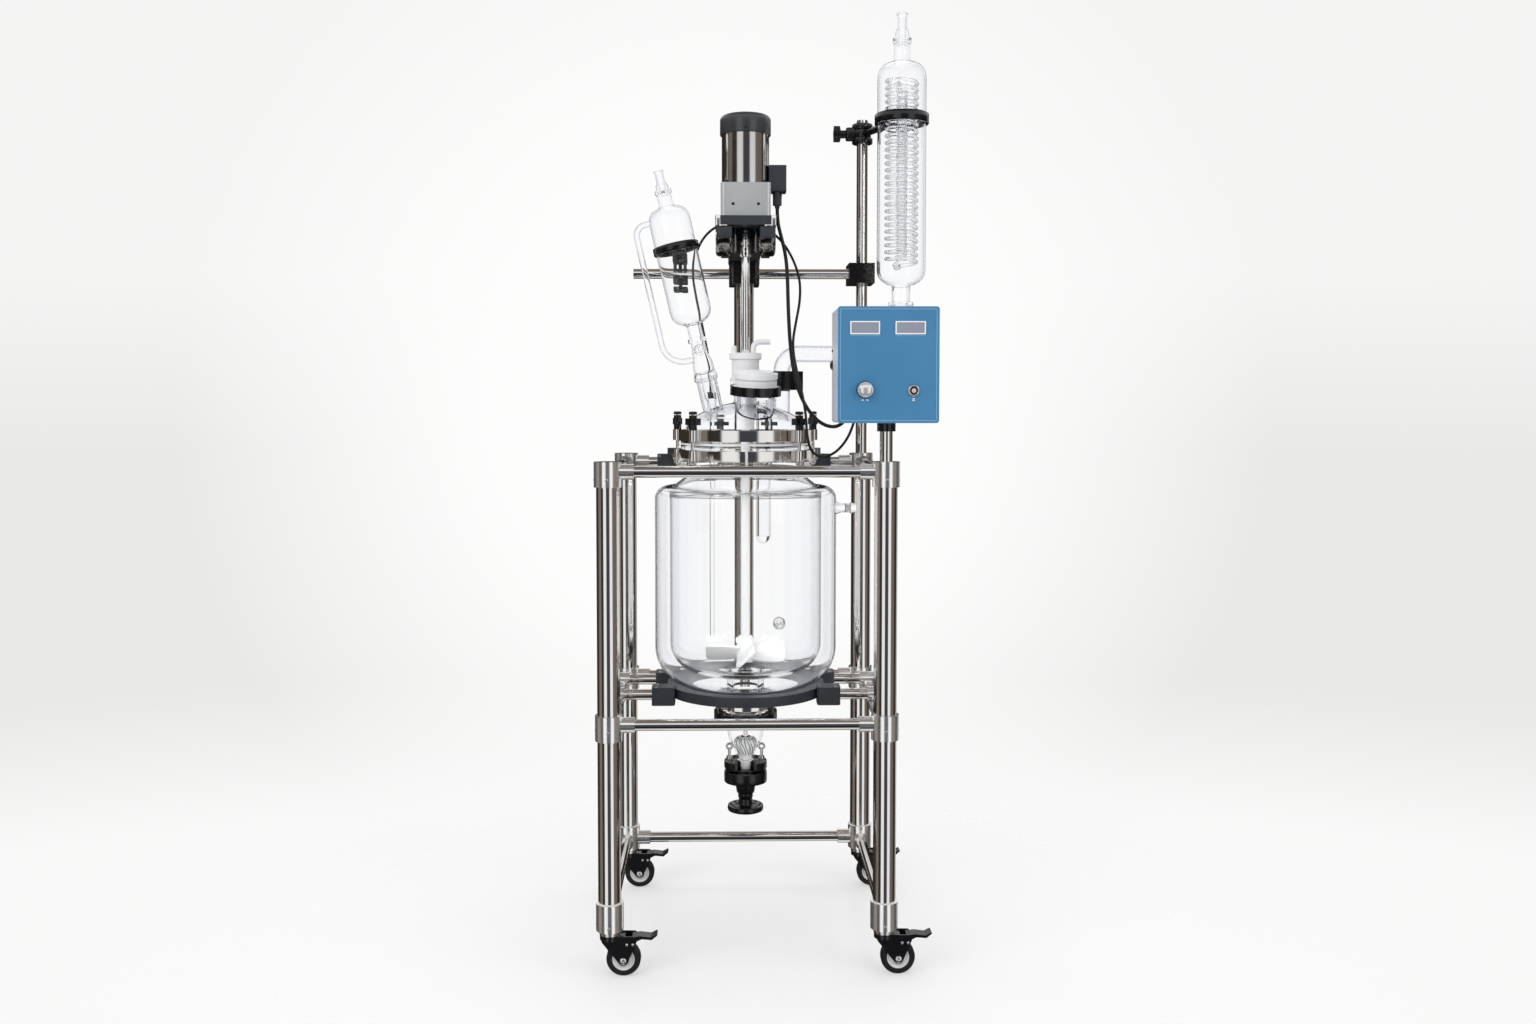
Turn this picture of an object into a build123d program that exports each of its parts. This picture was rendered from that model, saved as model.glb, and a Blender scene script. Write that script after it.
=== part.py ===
from build123d import *
import os
from math import cos, hypot, pi, radians, sin, sqrt, tan

# Fifty-litre jacketed glass reactor on a wheeled stainless stand, in millimetres.
# The origin is on the floor under the vessel's axis, +Z is up and -Y faces the operator.

# Clearances shared by every seat and fit
slip = 0.1
run_fit = 0.06
seat_gap = 0.3

# Stand: tubes and the places of their levels
post_radius = 25.0
post_wall = 2.0
post_half_x = 300.0
front_y = -250.0
rear_y = 270.0
rail_radius = 12.5
rail_wall = 1.5
low_rail_z = 128.0
mid_rail_z = 551.0
top_rail_z = 1101.0
collar_radius = 30.0
collar_above = 22.0
collar_below = 33.0
collar_floor = 5.0
socket_radius = 17.0
socket_reach = 57.0
foot_z = 101.0

# Casters
wheel_radius = 37.5
wheel_width = 24.0
caster_trail = 30.0
axle_radius = 5.0
cheek_thickness = 3.5
crown_z = 80.0
crown_thickness = 11.0
kingpin_radius = 5.0
pedal_pivot_x = 52.0
pedal_pivot_z = 82.0
pedal_length = 52.0

# Vessel and its support
jacket_radius = 212.5
jacket_wall = 6.0
jacket_top_z = 1056.0
jacket_floor_z = 585.0
jacket_corner = 95.0
inner_radius = 178.0
inner_wall = 7.0
inner_floor_z = 620.0
inner_corner = 70.0
neck_radius = 138.0
neck_base_z = 1078.0
flange_radius = 152.0
flange_height = 12.0
vessel_top_z = 1153.0
outlet_radius = 38.0
outlet_bore = 30.0
outlet_z = 524.0
outlet_flange_radius = 55.0
jacket_nozzle_radius = 10.5
jacket_nozzle_bore = 7.0
jacket_nozzle_reach = 260.0
jacket_outlet_z = 1003.0
jacket_inlet_z = 700.0
jacket_inlet_x = 90.0
support_z = 580.0
support_y = 83.0
ring_outer_radius = 184.0
ring_inner_radius = 130.0
ring_bottom_z = 571.0
ring_thickness = 23.0

# Lid and its clamps
gasket_thickness = 4.0
lid_flange_height = 13.0
lid_wall = 6.0
dome_radius = 141.0
dome_height = 72.0
dome_knuckle = 45.0
clamp_radius = 157.6
clamp_thickness = 25.0
stud_radius = 4.0
stud_circle = 164.0
stud_angles = (-43, 12, 68, 112, 168, 223)
shaft_radius = 10.0
centre_neck_radius = 27.0
centre_neck_bore = 23.0
centre_neck_top_z = 1302.0
charging_x = 20.0
charging_y = -84.0
charging_lean = 7.0
charging_neck_radius = 42.0
charging_flange_radius = 52.0
charging_neck_height = 45.0
vapour_x = 87.0
vapour_y = 50.0
vapour_radius = 19.5
vapour_wall = 3.0
vapour_run_z = 1367.0
well_x = -80.0
well_y = 75.0
dip_x = 45.0
dip_y = 95.0

# Dropping funnel on its leaning axis
funnel_lean = 12.9
funnel_foot = (-77.3, 30.0, 1240.0)
funnel_radius = 49.0
funnel_wall = 3.0
funnel_joint_s = 72.0
funnel_body_s = 161.5
funnel_top_s = 482.0
equaliser_offset = 84.0
equaliser_radius = 7.0

# Condenser
condenser_x = 377.0
condenser_y = 100.0
condenser_radius = 58.5
condenser_wall = 4.0
condenser_base_z = 1485.0
condenser_floor_z = 1533.0
condenser_top_z = 2066.0
condenser_neck_top_z = 2118.0
coil_radius = 37.0
coil_tube_radius = 4.5
coil_pitch = 20.0
coil_sides = 12
coil_base_z = 1585.0
coil_height = 440.0

# Column, rods and drive
column_top_z = 1655.0
cross_rod_z = 1574.0
cross_rod_y = 230.0
condenser_rod_radius = 14.0
condenser_rod_top_z = 1964.0
holder_z = 1930.0
plate_width = 140.0
plate_thickness = 21.0
gearbox_width = 115.0
gearbox_height = 77.0
motor_radius = 56.0
motor_height = 116.0
motor_cap_radius = 59.0
motor_cap_height = 45.0

# Stirrer
hub_clearance = 18.0
hub_base_z = inner_floor_z + hub_clearance
hub_height = 64.0
hub_radius = 21.0
blade_tip_radius = 94.0
blade_width = 60.0
blade_thickness = 8.0
blade_pitch = 45.0

# Control box
box_width = 213.0
box_depth = 150.0
box_height = 244.0
box_centre_x = 295.0
box_front_y = -325.0
box_base_z = 1206.6
box_wall = 2.0
panel_thickness = 3.0
knob_x = 245.7
knob_z = 1276.3
knob_radius = 17.4
button_x = 347.9
button_z = 1274.6
button_radius = 8.0
button_travel = 3.0

# Bottom valve
disc_radius = 74.5
disc_top_z = 523.7
disc_thickness = 21.7
valve_flange_radius = 50.5
valve_top_z = 405.7
stem_radius = 8.0
valve_outlet_radius = 13.0
valve_outlet_z = 370.0
handwheel_radius = 42.5
handwheel_base_z = 284.0
handwheel_rim = 14.0
handwheel_hub_radius = 14.0
handwheel_top_z = 314.0

os.makedirs("parts", exist_ok=True)

STANDING = (Align.CENTER, Align.CENTER, Align.MIN)


def rod(start, end, radius, mode=Mode.ADD):
    """A straight round bar from start to end."""
    run = Vector(*end) - Vector(*start)
    with Locations(Plane(origin=start, z_dir=run)):
        Cylinder(radius, run.length, align=STANDING, mode=mode)


def tube(start, end, radius, wall):
    """A straight tube, open at both ends."""
    rod(start, end, radius)
    rod(start, end, radius - wall, Mode.SUBTRACT)


def upright(x, y, low, high, radius, mode=Mode.ADD):
    """A vertical bar, or a bore with Mode.SUBTRACT."""
    rod((x, y, low), (x, y, high), radius, mode)


def block(x_span, y_span, z_span, mode=Mode.ADD):
    """A box between two places on each axis."""
    centre = [(low + high) / 2 for low, high in (x_span, y_span, z_span)]
    with Locations(tuple(centre)):
        Box(x_span[1] - x_span[0], y_span[1] - y_span[0], z_span[1] - z_span[0], mode=mode)


def bent_pipe(points, radii, radius, bore=0.0):
    """A round pipe along straight runs and tangent arcs."""
    with BuildLine() as route:
        FilletPolyline(*points, radius=radii)
    with BuildSketch(Plane(origin=route.line @ 0, z_dir=route.line % 0)) as section:
        Circle(radius)
        if bore:
            Circle(bore, mode=Mode.SUBTRACT)
    sweep(sections=section.sketch, path=route.line)


corners = {
    "front_left": (-post_half_x, front_y),
    "front_right": (post_half_x, front_y),
    "rear_left": (-post_half_x, rear_y),
    "rear_right": (post_half_x, rear_y),
}
collar_top_z = top_rail_z + collar_above
post_base_z = foot_z + collar_floor
post_top_z = collar_top_z - collar_floor
foot_collar_top_z = low_rail_z + collar_below
rail_start = collar_radius + 2

# Four corner posts
with BuildPart() as corner_posts:
    for x, y in corners.values():
        tube((x, y, post_base_z), (x, y, post_top_z), post_radius, post_wall)
corner_posts.part.label = "corner_posts"
export_step(corner_posts.part, "parts/corner_posts.step")

# Horizontal rails of the frame and the four short rods that carry the support ring
stub_inner_x = 195.0
stub_outer_x = post_half_x + rail_radius + 4.5
with BuildPart() as rails:
    rail_end_x = post_half_x - rail_start
    for z in (mid_rail_z, top_rail_z):
        tube((-rail_end_x, front_y, z), (rail_end_x, front_y, z), rail_radius, rail_wall)
        for side in (-1, 1):
            tube((side * rail_start, rear_y, z), (side * rail_end_x, rear_y, z), rail_radius, rail_wall)
    tube((-rail_end_x, rear_y, low_rail_z), (rail_end_x, rear_y, low_rail_z), rail_radius, rail_wall)
    for side in (-1, 1):
        x = side * post_half_x
        for z in (low_rail_z, mid_rail_z, top_rail_z):
            tube((x, front_y + rail_start, z), (x, rear_y - rail_start, z), rail_radius, rail_wall)
        for y in (-support_y, support_y):
            inner, outer = (side * stub_inner_x, y, support_z), (side * stub_outer_x, y, support_z)
            tube(inner, outer, rail_radius, rail_wall)
rails.part.label = "rails"
export_step(rails.part, "parts/rails.step")

# Collars that join the rails to the posts and to the column
sockets_at = {
    (-post_half_x, front_y): ((1, 0), (0, 1)),
    (post_half_x, front_y): ((-1, 0), (0, 1)),
    (-post_half_x, rear_y): ((1, 0), (0, -1)),
    (post_half_x, rear_y): ((-1, 0), (0, -1)),
    (0.0, rear_y): ((-1, 0), (1, 0)),
}
with BuildPart() as post_collars:
    for (x, y), sockets in sockets_at.items():
        for z in (low_rail_z, mid_rail_z, top_rail_z):
            if z == low_rail_z and x == 0:
                continue
            low = foot_z if z == low_rail_z else z - collar_below
            high = foot_collar_top_z if z == low_rail_z else z + collar_above
            upright(x, y, low, high, collar_radius)
            for dx, dy in sockets:
                if z == low_rail_z and y == front_y and dx:
                    continue
                rod((x, y, z), (x + dx * socket_reach, y + dy * socket_reach, z), socket_radius)
            closed_below = z == low_rail_z or (x == 0 and z == mid_rail_z)
            closed_above = z == top_rail_z and x != 0
            bore_low = low + collar_floor - slip if closed_below else low - 1
            bore_high = post_top_z + slip if closed_above else high + 1
            upright(x, y, bore_low, bore_high, post_radius + slip, Mode.SUBTRACT)
            for dx, dy in sockets:
                start = (x + dx * (rail_start - slip), y + dy * (rail_start - slip), z)
                end = (x + dx * (socket_reach + 1), y + dy * (socket_reach + 1), z)
                rod(start, end, rail_radius + slip, Mode.SUBTRACT)
    for x, y in corners.values():
        upright(x, y, foot_z - 1, post_base_z, 6 + slip, Mode.SUBTRACT)
post_collars.part.label = "post_collars"
export_step(post_collars.part, "parts/post_collars.step")

# Crossing tees: the short rods lie over the middle side rails
with BuildPart() as rail_tees:
    for side in (-1, 1):
        x = side * post_half_x
        for y in (-support_y, support_y):
            rod((x, y - 18, mid_rail_z), (x, y + 18, mid_rail_z), socket_radius)
            rod((x - 21, y, support_z), (x + 21, y, support_z), socket_radius)
            rod((x, y - 19, mid_rail_z), (x, y + 19, mid_rail_z), rail_radius + slip, Mode.SUBTRACT)
            bore_end = side * (stub_outer_x + slip)
            rod((x - side * 22, y, support_z), (bore_end, y, support_z), rail_radius + slip, Mode.SUBTRACT)
rail_tees.part.label = "rail_tees"
export_step(rail_tees.part, "parts/rail_tees.step")

# Uprights and the cross rod: column, condenser rod, box rod and the rod behind the drive
column_base_z = mid_rail_z - collar_below + collar_floor
with BuildPart() as stand_rods:
    tube((0, rear_y, column_base_z), (0, rear_y, column_top_z), post_radius, post_wall)
    tube(
        (post_half_x, rear_y, collar_top_z),
        (post_half_x, rear_y, condenser_rod_top_z),
        condenser_rod_radius,
        2,
    )
    tube((post_half_x, front_y, collar_top_z), (post_half_x, front_y, box_base_z), condenser_rod_radius, 2)
    tube(
        (-277, cross_rod_y, cross_rod_z),
        (post_half_x + 18, cross_rod_y, cross_rod_z),
        rail_radius,
        rail_wall,
    )
stand_rods.part.label = "stand_rods"
export_step(stand_rods.part, "parts/stand_rods.step")

# Cross clamps that hold the cross rod, and the collar under the control box
with BuildPart() as rod_clamps:
    block((-38, 38), (cross_rod_y - 27, rear_y + 40), (cross_rod_z - 27, cross_rod_z + 28))
    fillet(rod_clamps.edges().filter_by(Axis.Z), 12)
    block(
        (post_half_x - 38, post_half_x + 26),
        (cross_rod_y - 25, rear_y + 28),
        (cross_rod_z - 24, cross_rod_z + 26),
    )
    upright(post_half_x, front_y, box_base_z - 18.6, box_base_z, 20)
    upright(0, rear_y, cross_rod_z - 30, cross_rod_z + 30, post_radius + slip, Mode.SUBTRACT)
    for y in (rear_y, front_y):
        upright(post_half_x, y, box_base_z - 20, 1700, condenser_rod_radius + slip, Mode.SUBTRACT)
    rod((-40, cross_rod_y, cross_rod_z), (318, cross_rod_y, cross_rod_z), rail_radius + slip, Mode.SUBTRACT)
rod_clamps.part.label = "rod_clamps"
export_step(rod_clamps.part, "parts/rod_clamps.step")

# Support ring with a seat that follows the jacket's corner
corner_x = jacket_radius - jacket_corner
corner_z = jacket_floor_z + jacket_corner
seat_corner = jacket_corner + seat_gap
ring_top_z = ring_bottom_z + ring_thickness


def seat_radius_at(z):
    """How far out the ring's seat is at a height."""
    return corner_x + sqrt(seat_corner**2 - (corner_z - z) ** 2)


def seat_height_at(radius):
    """How high the ring's seat is at a radius."""
    return corner_z - sqrt(seat_corner**2 - (radius - corner_x) ** 2)


with BuildPart() as support_ring:
    with BuildSketch(Plane.XZ):
        with BuildLine():
            inner_top = (ring_inner_radius, seat_height_at(ring_inner_radius))
            seat_edge = (seat_radius_at(ring_top_z), ring_top_z)
            middle = (ring_inner_radius + seat_edge[0]) / 2
            ThreePointArc(inner_top, (middle, seat_height_at(middle)), seat_edge)
            Polyline(
                seat_edge,
                (ring_outer_radius, ring_top_z),
                (ring_outer_radius, ring_bottom_z),
                (ring_inner_radius, ring_bottom_z),
                inner_top,
            )
        make_face()
    revolve(axis=Axis.Z)
support_ring.part.label = "support_ring"
export_step(support_ring.part, "parts/support_ring.step")

# Four blocks that grip the ring and the ends of the short rods
with BuildPart() as ring_blocks:
    for side in (-1, 1):
        for y in (-support_y, support_y):
            x_span = sorted((side * (stub_inner_x - 32), side * (stub_inner_x + 21)))
            block(x_span, (y - 25, y + 25), (support_z - 21, support_z + 20))
    fillet(ring_blocks.edges().filter_by(Axis.Z), 8)
    with Locations((0, 0, ring_bottom_z - seat_gap)):
        Cylinder(
            ring_outer_radius + seat_gap,
            ring_thickness + 2 * seat_gap,
            align=STANDING,
            mode=Mode.SUBTRACT,
        )
    for side in (-1, 1):
        for y in (-support_y, support_y):
            start, end = (side * (stub_inner_x - slip), y, support_z), (side * 220, y, support_z)
            rod(start, end, rail_radius + slip, Mode.SUBTRACT)
ring_blocks.part.label = "ring_blocks"
export_step(ring_blocks.part, "parts/ring_blocks.step")

# Casters: fixed stem, swivelling fork, wheel and brake pedal
with BuildPart() as caster_stems:
    for x, y in corners.values():
        upright(x, y, crown_z + crown_thickness + seat_gap, foot_z, 23)
        upright(x, y, foot_z, foot_z + 30, 6)
        upright(x, y, crown_z - seat_gap, crown_z + crown_thickness + 1, kingpin_radius)
        upright(x, y, crown_z - 3.5, crown_z - seat_gap, 8)
caster_stems.part.label = "caster_stems"
export_step(caster_stems.part, "parts/caster_stems.step")

cheek_inner = wheel_width / 2 + 3
cheek_outer = cheek_inner + cheek_thickness
for corner, (x, y) in corners.items():
    axle_x = x + caster_trail
    pivot_x = x + pedal_pivot_x
    with BuildPart() as fork:
        for cheek_y in (y - cheek_inner, y + cheek_outer):
            with BuildSketch(Plane.XZ.offset(-cheek_y)):
                with Locations((axle_x, wheel_radius)):
                    Circle(11)
                with Locations((x - 8, crown_z + 2)):
                    Circle(9)
                with Locations((pivot_x, pedal_pivot_z)):
                    Circle(8)
                make_hull()
            extrude(amount=cheek_thickness)
        upright(x, y, crown_z, crown_z + crown_thickness, 22)
        block((x, x + 34), (y - cheek_outer, y + cheek_outer), (crown_z, crown_z + 8))
        upright(x, y, crown_z - 1, 100, kingpin_radius + run_fit, Mode.SUBTRACT)
        upright(x, y, 70, crown_z, 9, Mode.SUBTRACT)
        rod(
            (pivot_x, y - cheek_inner, pedal_pivot_z),
            (pivot_x, y + cheek_inner, pedal_pivot_z),
            9,
            Mode.SUBTRACT,
        )
        rod(
            (axle_x, y - cheek_outer - 3, wheel_radius),
            (axle_x, y + cheek_outer + 3, wheel_radius),
            axle_radius,
        )
        rod((pivot_x, y - cheek_outer - 2, pedal_pivot_z), (pivot_x, y + cheek_outer + 2, pedal_pivot_z), 3)
    fork.part.label = f"caster_fork_{corner}"
    export_step(fork.part, f"parts/caster_fork_{corner}.step")

    with BuildPart() as wheel:
        with BuildSketch(Plane.XY.offset(wheel_radius)):
            half = wheel_width / 2
            with BuildLine():
                Polyline(
                    (axle_x + axle_radius + run_fit, y - half - 2),
                    (axle_x + 12, y - half - 2),
                    (axle_x + 12, y - half + 3),
                    (axle_x + 25, y - half + 3),
                    (axle_x + 25, y - half),
                    (axle_x + wheel_radius - 3, y - half),
                    (axle_x + wheel_radius, y - half + 5),
                    (axle_x + wheel_radius, y + half - 5),
                    (axle_x + wheel_radius - 3, y + half),
                    (axle_x + 25, y + half),
                    (axle_x + 25, y + half - 3),
                    (axle_x + 12, y + half - 3),
                    (axle_x + 12, y + half + 2),
                    (axle_x + axle_radius + run_fit, y + half + 2),
                    (axle_x + axle_radius + run_fit, y - half - 2),
                )
            make_face()
        revolve(axis=Axis((axle_x, y, wheel_radius), (0, 1, 0)))
    wheel.part.label = f"caster_wheel_{corner}"
    export_step(wheel.part, f"parts/caster_wheel_{corner}.step")

    with BuildPart() as pedal:
        with BuildSketch(Plane.XZ.offset(-(y + cheek_inner - 1))):
            with BuildLine():
                Polyline(
                    (pivot_x - 4, pedal_pivot_z - 5),
                    (pivot_x + 5, pedal_pivot_z - 5),
                    (pivot_x + 18, pedal_pivot_z + 1),
                    (pivot_x + pedal_length - 12, pedal_pivot_z - 1),
                    (pivot_x + pedal_length, pedal_pivot_z + 9),
                    (pivot_x + pedal_length - 2, pedal_pivot_z + 11),
                    (pivot_x + pedal_length - 14, pedal_pivot_z + 5),
                    (pivot_x + 14, pedal_pivot_z + 8),
                    (pivot_x - 4, pedal_pivot_z + 5),
                    close=True,
                )
            make_face()
            with Locations((pivot_x, pedal_pivot_z)):
                Circle(7)
                Circle(3 + run_fit, mode=Mode.SUBTRACT)
        extrude(amount=2 * (cheek_inner - 1))
    pedal.part.label = f"caster_pedal_{corner}"
    export_step(pedal.part, f"parts/caster_pedal_{corner}.step")

# Jacketed vessel: one glass body with a closed jacket space
vessel_bore = inner_radius - inner_wall
outlet_flange_top = outlet_z + 12
inner_corner_x = inner_radius - inner_corner
inner_corner_z = inner_floor_z + inner_corner
diagonal = sqrt(0.5)
with BuildPart() as vessel:
    with BuildSketch(Plane.XZ):
        with BuildLine():
            Polyline(
                (outlet_bore, outlet_z),
                (outlet_flange_radius, outlet_z),
                (outlet_flange_radius, outlet_flange_top),
                (outlet_radius, outlet_flange_top),
                (outlet_radius, jacket_floor_z - 14),
                (corner_x, jacket_floor_z),
            )
            ThreePointArc(
                (corner_x, jacket_floor_z),
                (corner_x + jacket_corner * diagonal, corner_z - jacket_corner * diagonal),
                (jacket_radius, corner_z),
            )
            shoulder = 30.0
            shoulder_z = jacket_top_z - shoulder
            Line((jacket_radius, corner_z), (jacket_radius, shoulder_z))
            ThreePointArc(
                (jacket_radius, shoulder_z),
                (jacket_radius - shoulder * (1 - diagonal), shoulder_z + shoulder * diagonal),
                (jacket_radius - shoulder, jacket_top_z),
            )
            Polyline(
                (jacket_radius - shoulder, jacket_top_z),
                (inner_radius - 6, jacket_top_z),
                (neck_radius + 8, neck_base_z - 4),
                (neck_radius, neck_base_z + 6),
                (neck_radius, vessel_top_z - flange_height),
                (flange_radius, vessel_top_z - flange_height),
                (flange_radius, vessel_top_z),
                (neck_radius - inner_wall, vessel_top_z),
                (neck_radius - inner_wall, neck_base_z + 3),
                (neck_radius + 2, neck_base_z - 10),
                (vessel_bore - 10, jacket_top_z - 10),
                (vessel_bore, jacket_top_z - 22),
                (vessel_bore, inner_corner_z),
            )
            ThreePointArc(
                (vessel_bore, inner_corner_z),
                (
                    inner_corner_x + (inner_corner - inner_wall) * diagonal,
                    inner_corner_z - (inner_corner - inner_wall) * diagonal,
                ),
                (inner_corner_x, inner_floor_z + inner_wall),
            )
            Polyline(
                (inner_corner_x, inner_floor_z + inner_wall),
                (outlet_bore, inner_floor_z - 8),
                (outlet_bore, outlet_z),
            )
        make_face()
        with BuildLine():
            cavity_radius = jacket_radius - jacket_wall
            cavity_corner = jacket_corner - jacket_wall
            Polyline(
                (outlet_radius + 4, jacket_floor_z - 7),
                (corner_x, jacket_floor_z + jacket_wall),
            )
            ThreePointArc(
                (corner_x, jacket_floor_z + jacket_wall),
                (corner_x + cavity_corner * diagonal, corner_z - cavity_corner * diagonal),
                (cavity_radius, corner_z),
            )
            Polyline(
                (cavity_radius, corner_z),
                (cavity_radius, shoulder_z),
                (cavity_radius - 8, jacket_top_z - 11),
                (cavity_radius - 20, jacket_top_z - jacket_wall),
                (inner_radius + 2, jacket_top_z - jacket_wall),
                (inner_radius, jacket_top_z - 10),
                (inner_radius, inner_corner_z),
            )
            ThreePointArc(
                (inner_radius, inner_corner_z),
                (inner_corner_x + inner_corner * diagonal, inner_corner_z - inner_corner * diagonal),
                (inner_corner_x, inner_floor_z),
            )
            Polyline(
                (inner_corner_x, inner_floor_z),
                (outlet_radius + 4, inner_floor_z - 13),
                (outlet_radius + 4, jacket_floor_z - 7),
            )
        make_face(mode=Mode.SUBTRACT)
    revolve(axis=Axis.Z)
    outlet_start = (jacket_radius - 4, 0, jacket_outlet_z)
    inlet_start = (jacket_inlet_x, sqrt(jacket_radius**2 - jacket_inlet_x**2) - 3, jacket_inlet_z)
    outlet_end = (jacket_nozzle_reach, 0, jacket_outlet_z)
    inlet_end = (jacket_inlet_x, 240, jacket_inlet_z)
    rod(outlet_start, outlet_end, jacket_nozzle_radius)
    rod(outlet_start, (jacket_radius + 6, 0, jacket_outlet_z), jacket_nozzle_radius + 4)
    rod(inlet_start, inlet_end, jacket_nozzle_radius)
    rod(inlet_start, (jacket_inlet_x, 206, jacket_inlet_z), jacket_nozzle_radius + 4)
    rod((190, 0, jacket_outlet_z), (261, 0, jacket_outlet_z), jacket_nozzle_bore, Mode.SUBTRACT)
    rod((90, 175, jacket_inlet_z), (90, 241, jacket_inlet_z), jacket_nozzle_bore, Mode.SUBTRACT)
vessel.part.label = "vessel"
export_step(vessel.part, "parts/vessel.step")

# Gasket between the two glass flanges
lid_base_z = vessel_top_z + gasket_thickness
with BuildPart() as flange_gasket:
    tube((0, 0, vessel_top_z), (0, 0, lid_base_z), flange_radius, flange_radius - neck_radius + inner_wall)
flange_gasket.part.label = "flange_gasket"
export_step(flange_gasket.part, "parts/flange_gasket.step")

# Lid: torispherical dome with its necks
lid_flange_top = lid_base_z + lid_flange_height
dome_base_z = lid_flange_top + 10
knuckle_x = dome_radius - dome_knuckle
crown_lift = (knuckle_x**2 - (dome_height - dome_knuckle) ** 2) / (2 * (dome_height - dome_knuckle))
crown_radius = dome_height + crown_lift
crown_centre_z = dome_base_z - crown_lift


def dome_height_at(x, y):
    """Height of the dome's outer face over a point of the plan."""
    return crown_centre_z + sqrt(crown_radius**2 - x * x - y * y)


def dome_outline(shrink):
    """Closed half outline of the dome, moved inwards by shrink."""
    crown = crown_radius - shrink
    knuckle = dome_knuckle - shrink
    reach = hypot(knuckle_x, crown_lift)
    join = (crown * knuckle_x / reach, crown_centre_z + crown * crown_lift / reach)
    crown_middle = radians(90 - 0.5 * 32)
    knuckle_middle = radians(30)
    edge = dome_radius - shrink
    Polyline((0, lid_base_z - shrink), (edge, lid_base_z - shrink), (edge, dome_base_z))
    ThreePointArc(
        (edge, dome_base_z),
        (knuckle_x + knuckle * cos(knuckle_middle), dome_base_z + knuckle * sin(knuckle_middle)),
        join,
    )
    ThreePointArc(
        join,
        (crown * cos(crown_middle), crown_centre_z + crown * sin(crown_middle)),
        (0, crown_centre_z + crown),
    )
    Line((0, crown_centre_z + crown), (0, lid_base_z - shrink))


funnel_turn = radians(funnel_lean)
funnel_up = Vector(-sin(funnel_turn), 0, cos(funnel_turn))
funnel_out = Vector(cos(funnel_turn), 0, sin(funnel_turn))
funnel_plane = Plane(origin=funnel_foot, x_dir=funnel_out, z_dir=(0, -1, 0))
funnel_axis = Axis(funnel_foot, funnel_up)


def on_funnel(u, s, depth=0.0):
    """Place in the part's frame of a point u beside and s along the funnel's axis."""
    foot = Vector(*funnel_foot)
    return tuple(foot + funnel_out * u + funnel_up * s + Vector(0, depth, 0))


charging_up = Vector(0.03, -sin(radians(charging_lean)), cos(radians(charging_lean))).normalized()
charging_foot = Vector(charging_x, charging_y, dome_height_at(charging_x, charging_y) - 12)


def on_charging(h):
    """Point on the charging neck's axis, h above its foot inside the dome."""
    return tuple(charging_foot + charging_up * h)


well_top_z = 1262.0
dip_top_z = 1262.0
vapour_neck_top_z = 1302.0
charging_neck_h = charging_neck_height + 12
with BuildPart() as lid:
    with BuildSketch(Plane.XZ):
        with BuildLine():
            dome_outline(0)
        make_face()
    revolve(axis=Axis.Z)
    upright(0, 0, lid_base_z, lid_flange_top, flange_radius)
    upright(0, 0, 1235, centre_neck_top_z, centre_neck_radius)
    upright(0, 0, centre_neck_top_z - 12, centre_neck_top_z, 36)
    rod(on_charging(0), on_charging(charging_neck_h), charging_neck_radius)
    rod(on_charging(charging_neck_h - 8), on_charging(charging_neck_h), charging_flange_radius)
    upright(vapour_x, vapour_y, 1215, vapour_neck_top_z, vapour_radius)
    upright(vapour_x, vapour_y, vapour_neck_top_z - 8, vapour_neck_top_z, 26)
    upright(well_x, well_y, 1212, well_top_z, 13)
    upright(dip_x, dip_y, 1212, dip_top_z, 22)
    rod(on_funnel(0, -22), on_funnel(0, funnel_joint_s), 24)
    rod(on_funnel(0, funnel_joint_s - 6), on_funnel(0, funnel_joint_s), 28)
    with BuildSketch(Plane.XZ):
        with BuildLine():
            dome_outline(lid_wall)
        make_face()
    revolve(axis=Axis.Z, mode=Mode.SUBTRACT)
    upright(0, 0, 1200, centre_neck_top_z + 1, centre_neck_bore, Mode.SUBTRACT)
    rod(on_charging(-15), on_charging(charging_neck_h + 1), charging_neck_radius - 5, Mode.SUBTRACT)
    upright(vapour_x, vapour_y, 1195, vapour_neck_top_z + 1, vapour_radius - vapour_wall, Mode.SUBTRACT)
    upright(well_x, well_y, 1190, well_top_z + 1, 10, Mode.SUBTRACT)
    upright(dip_x, dip_y, 1190, dip_top_z + 1, 18.6, Mode.SUBTRACT)
    rod(on_funnel(0, -45), on_funnel(0, funnel_joint_s + 1), 20, Mode.SUBTRACT)
lid.part.label = "lid"
export_step(lid.part, "parts/lid.step")

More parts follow.
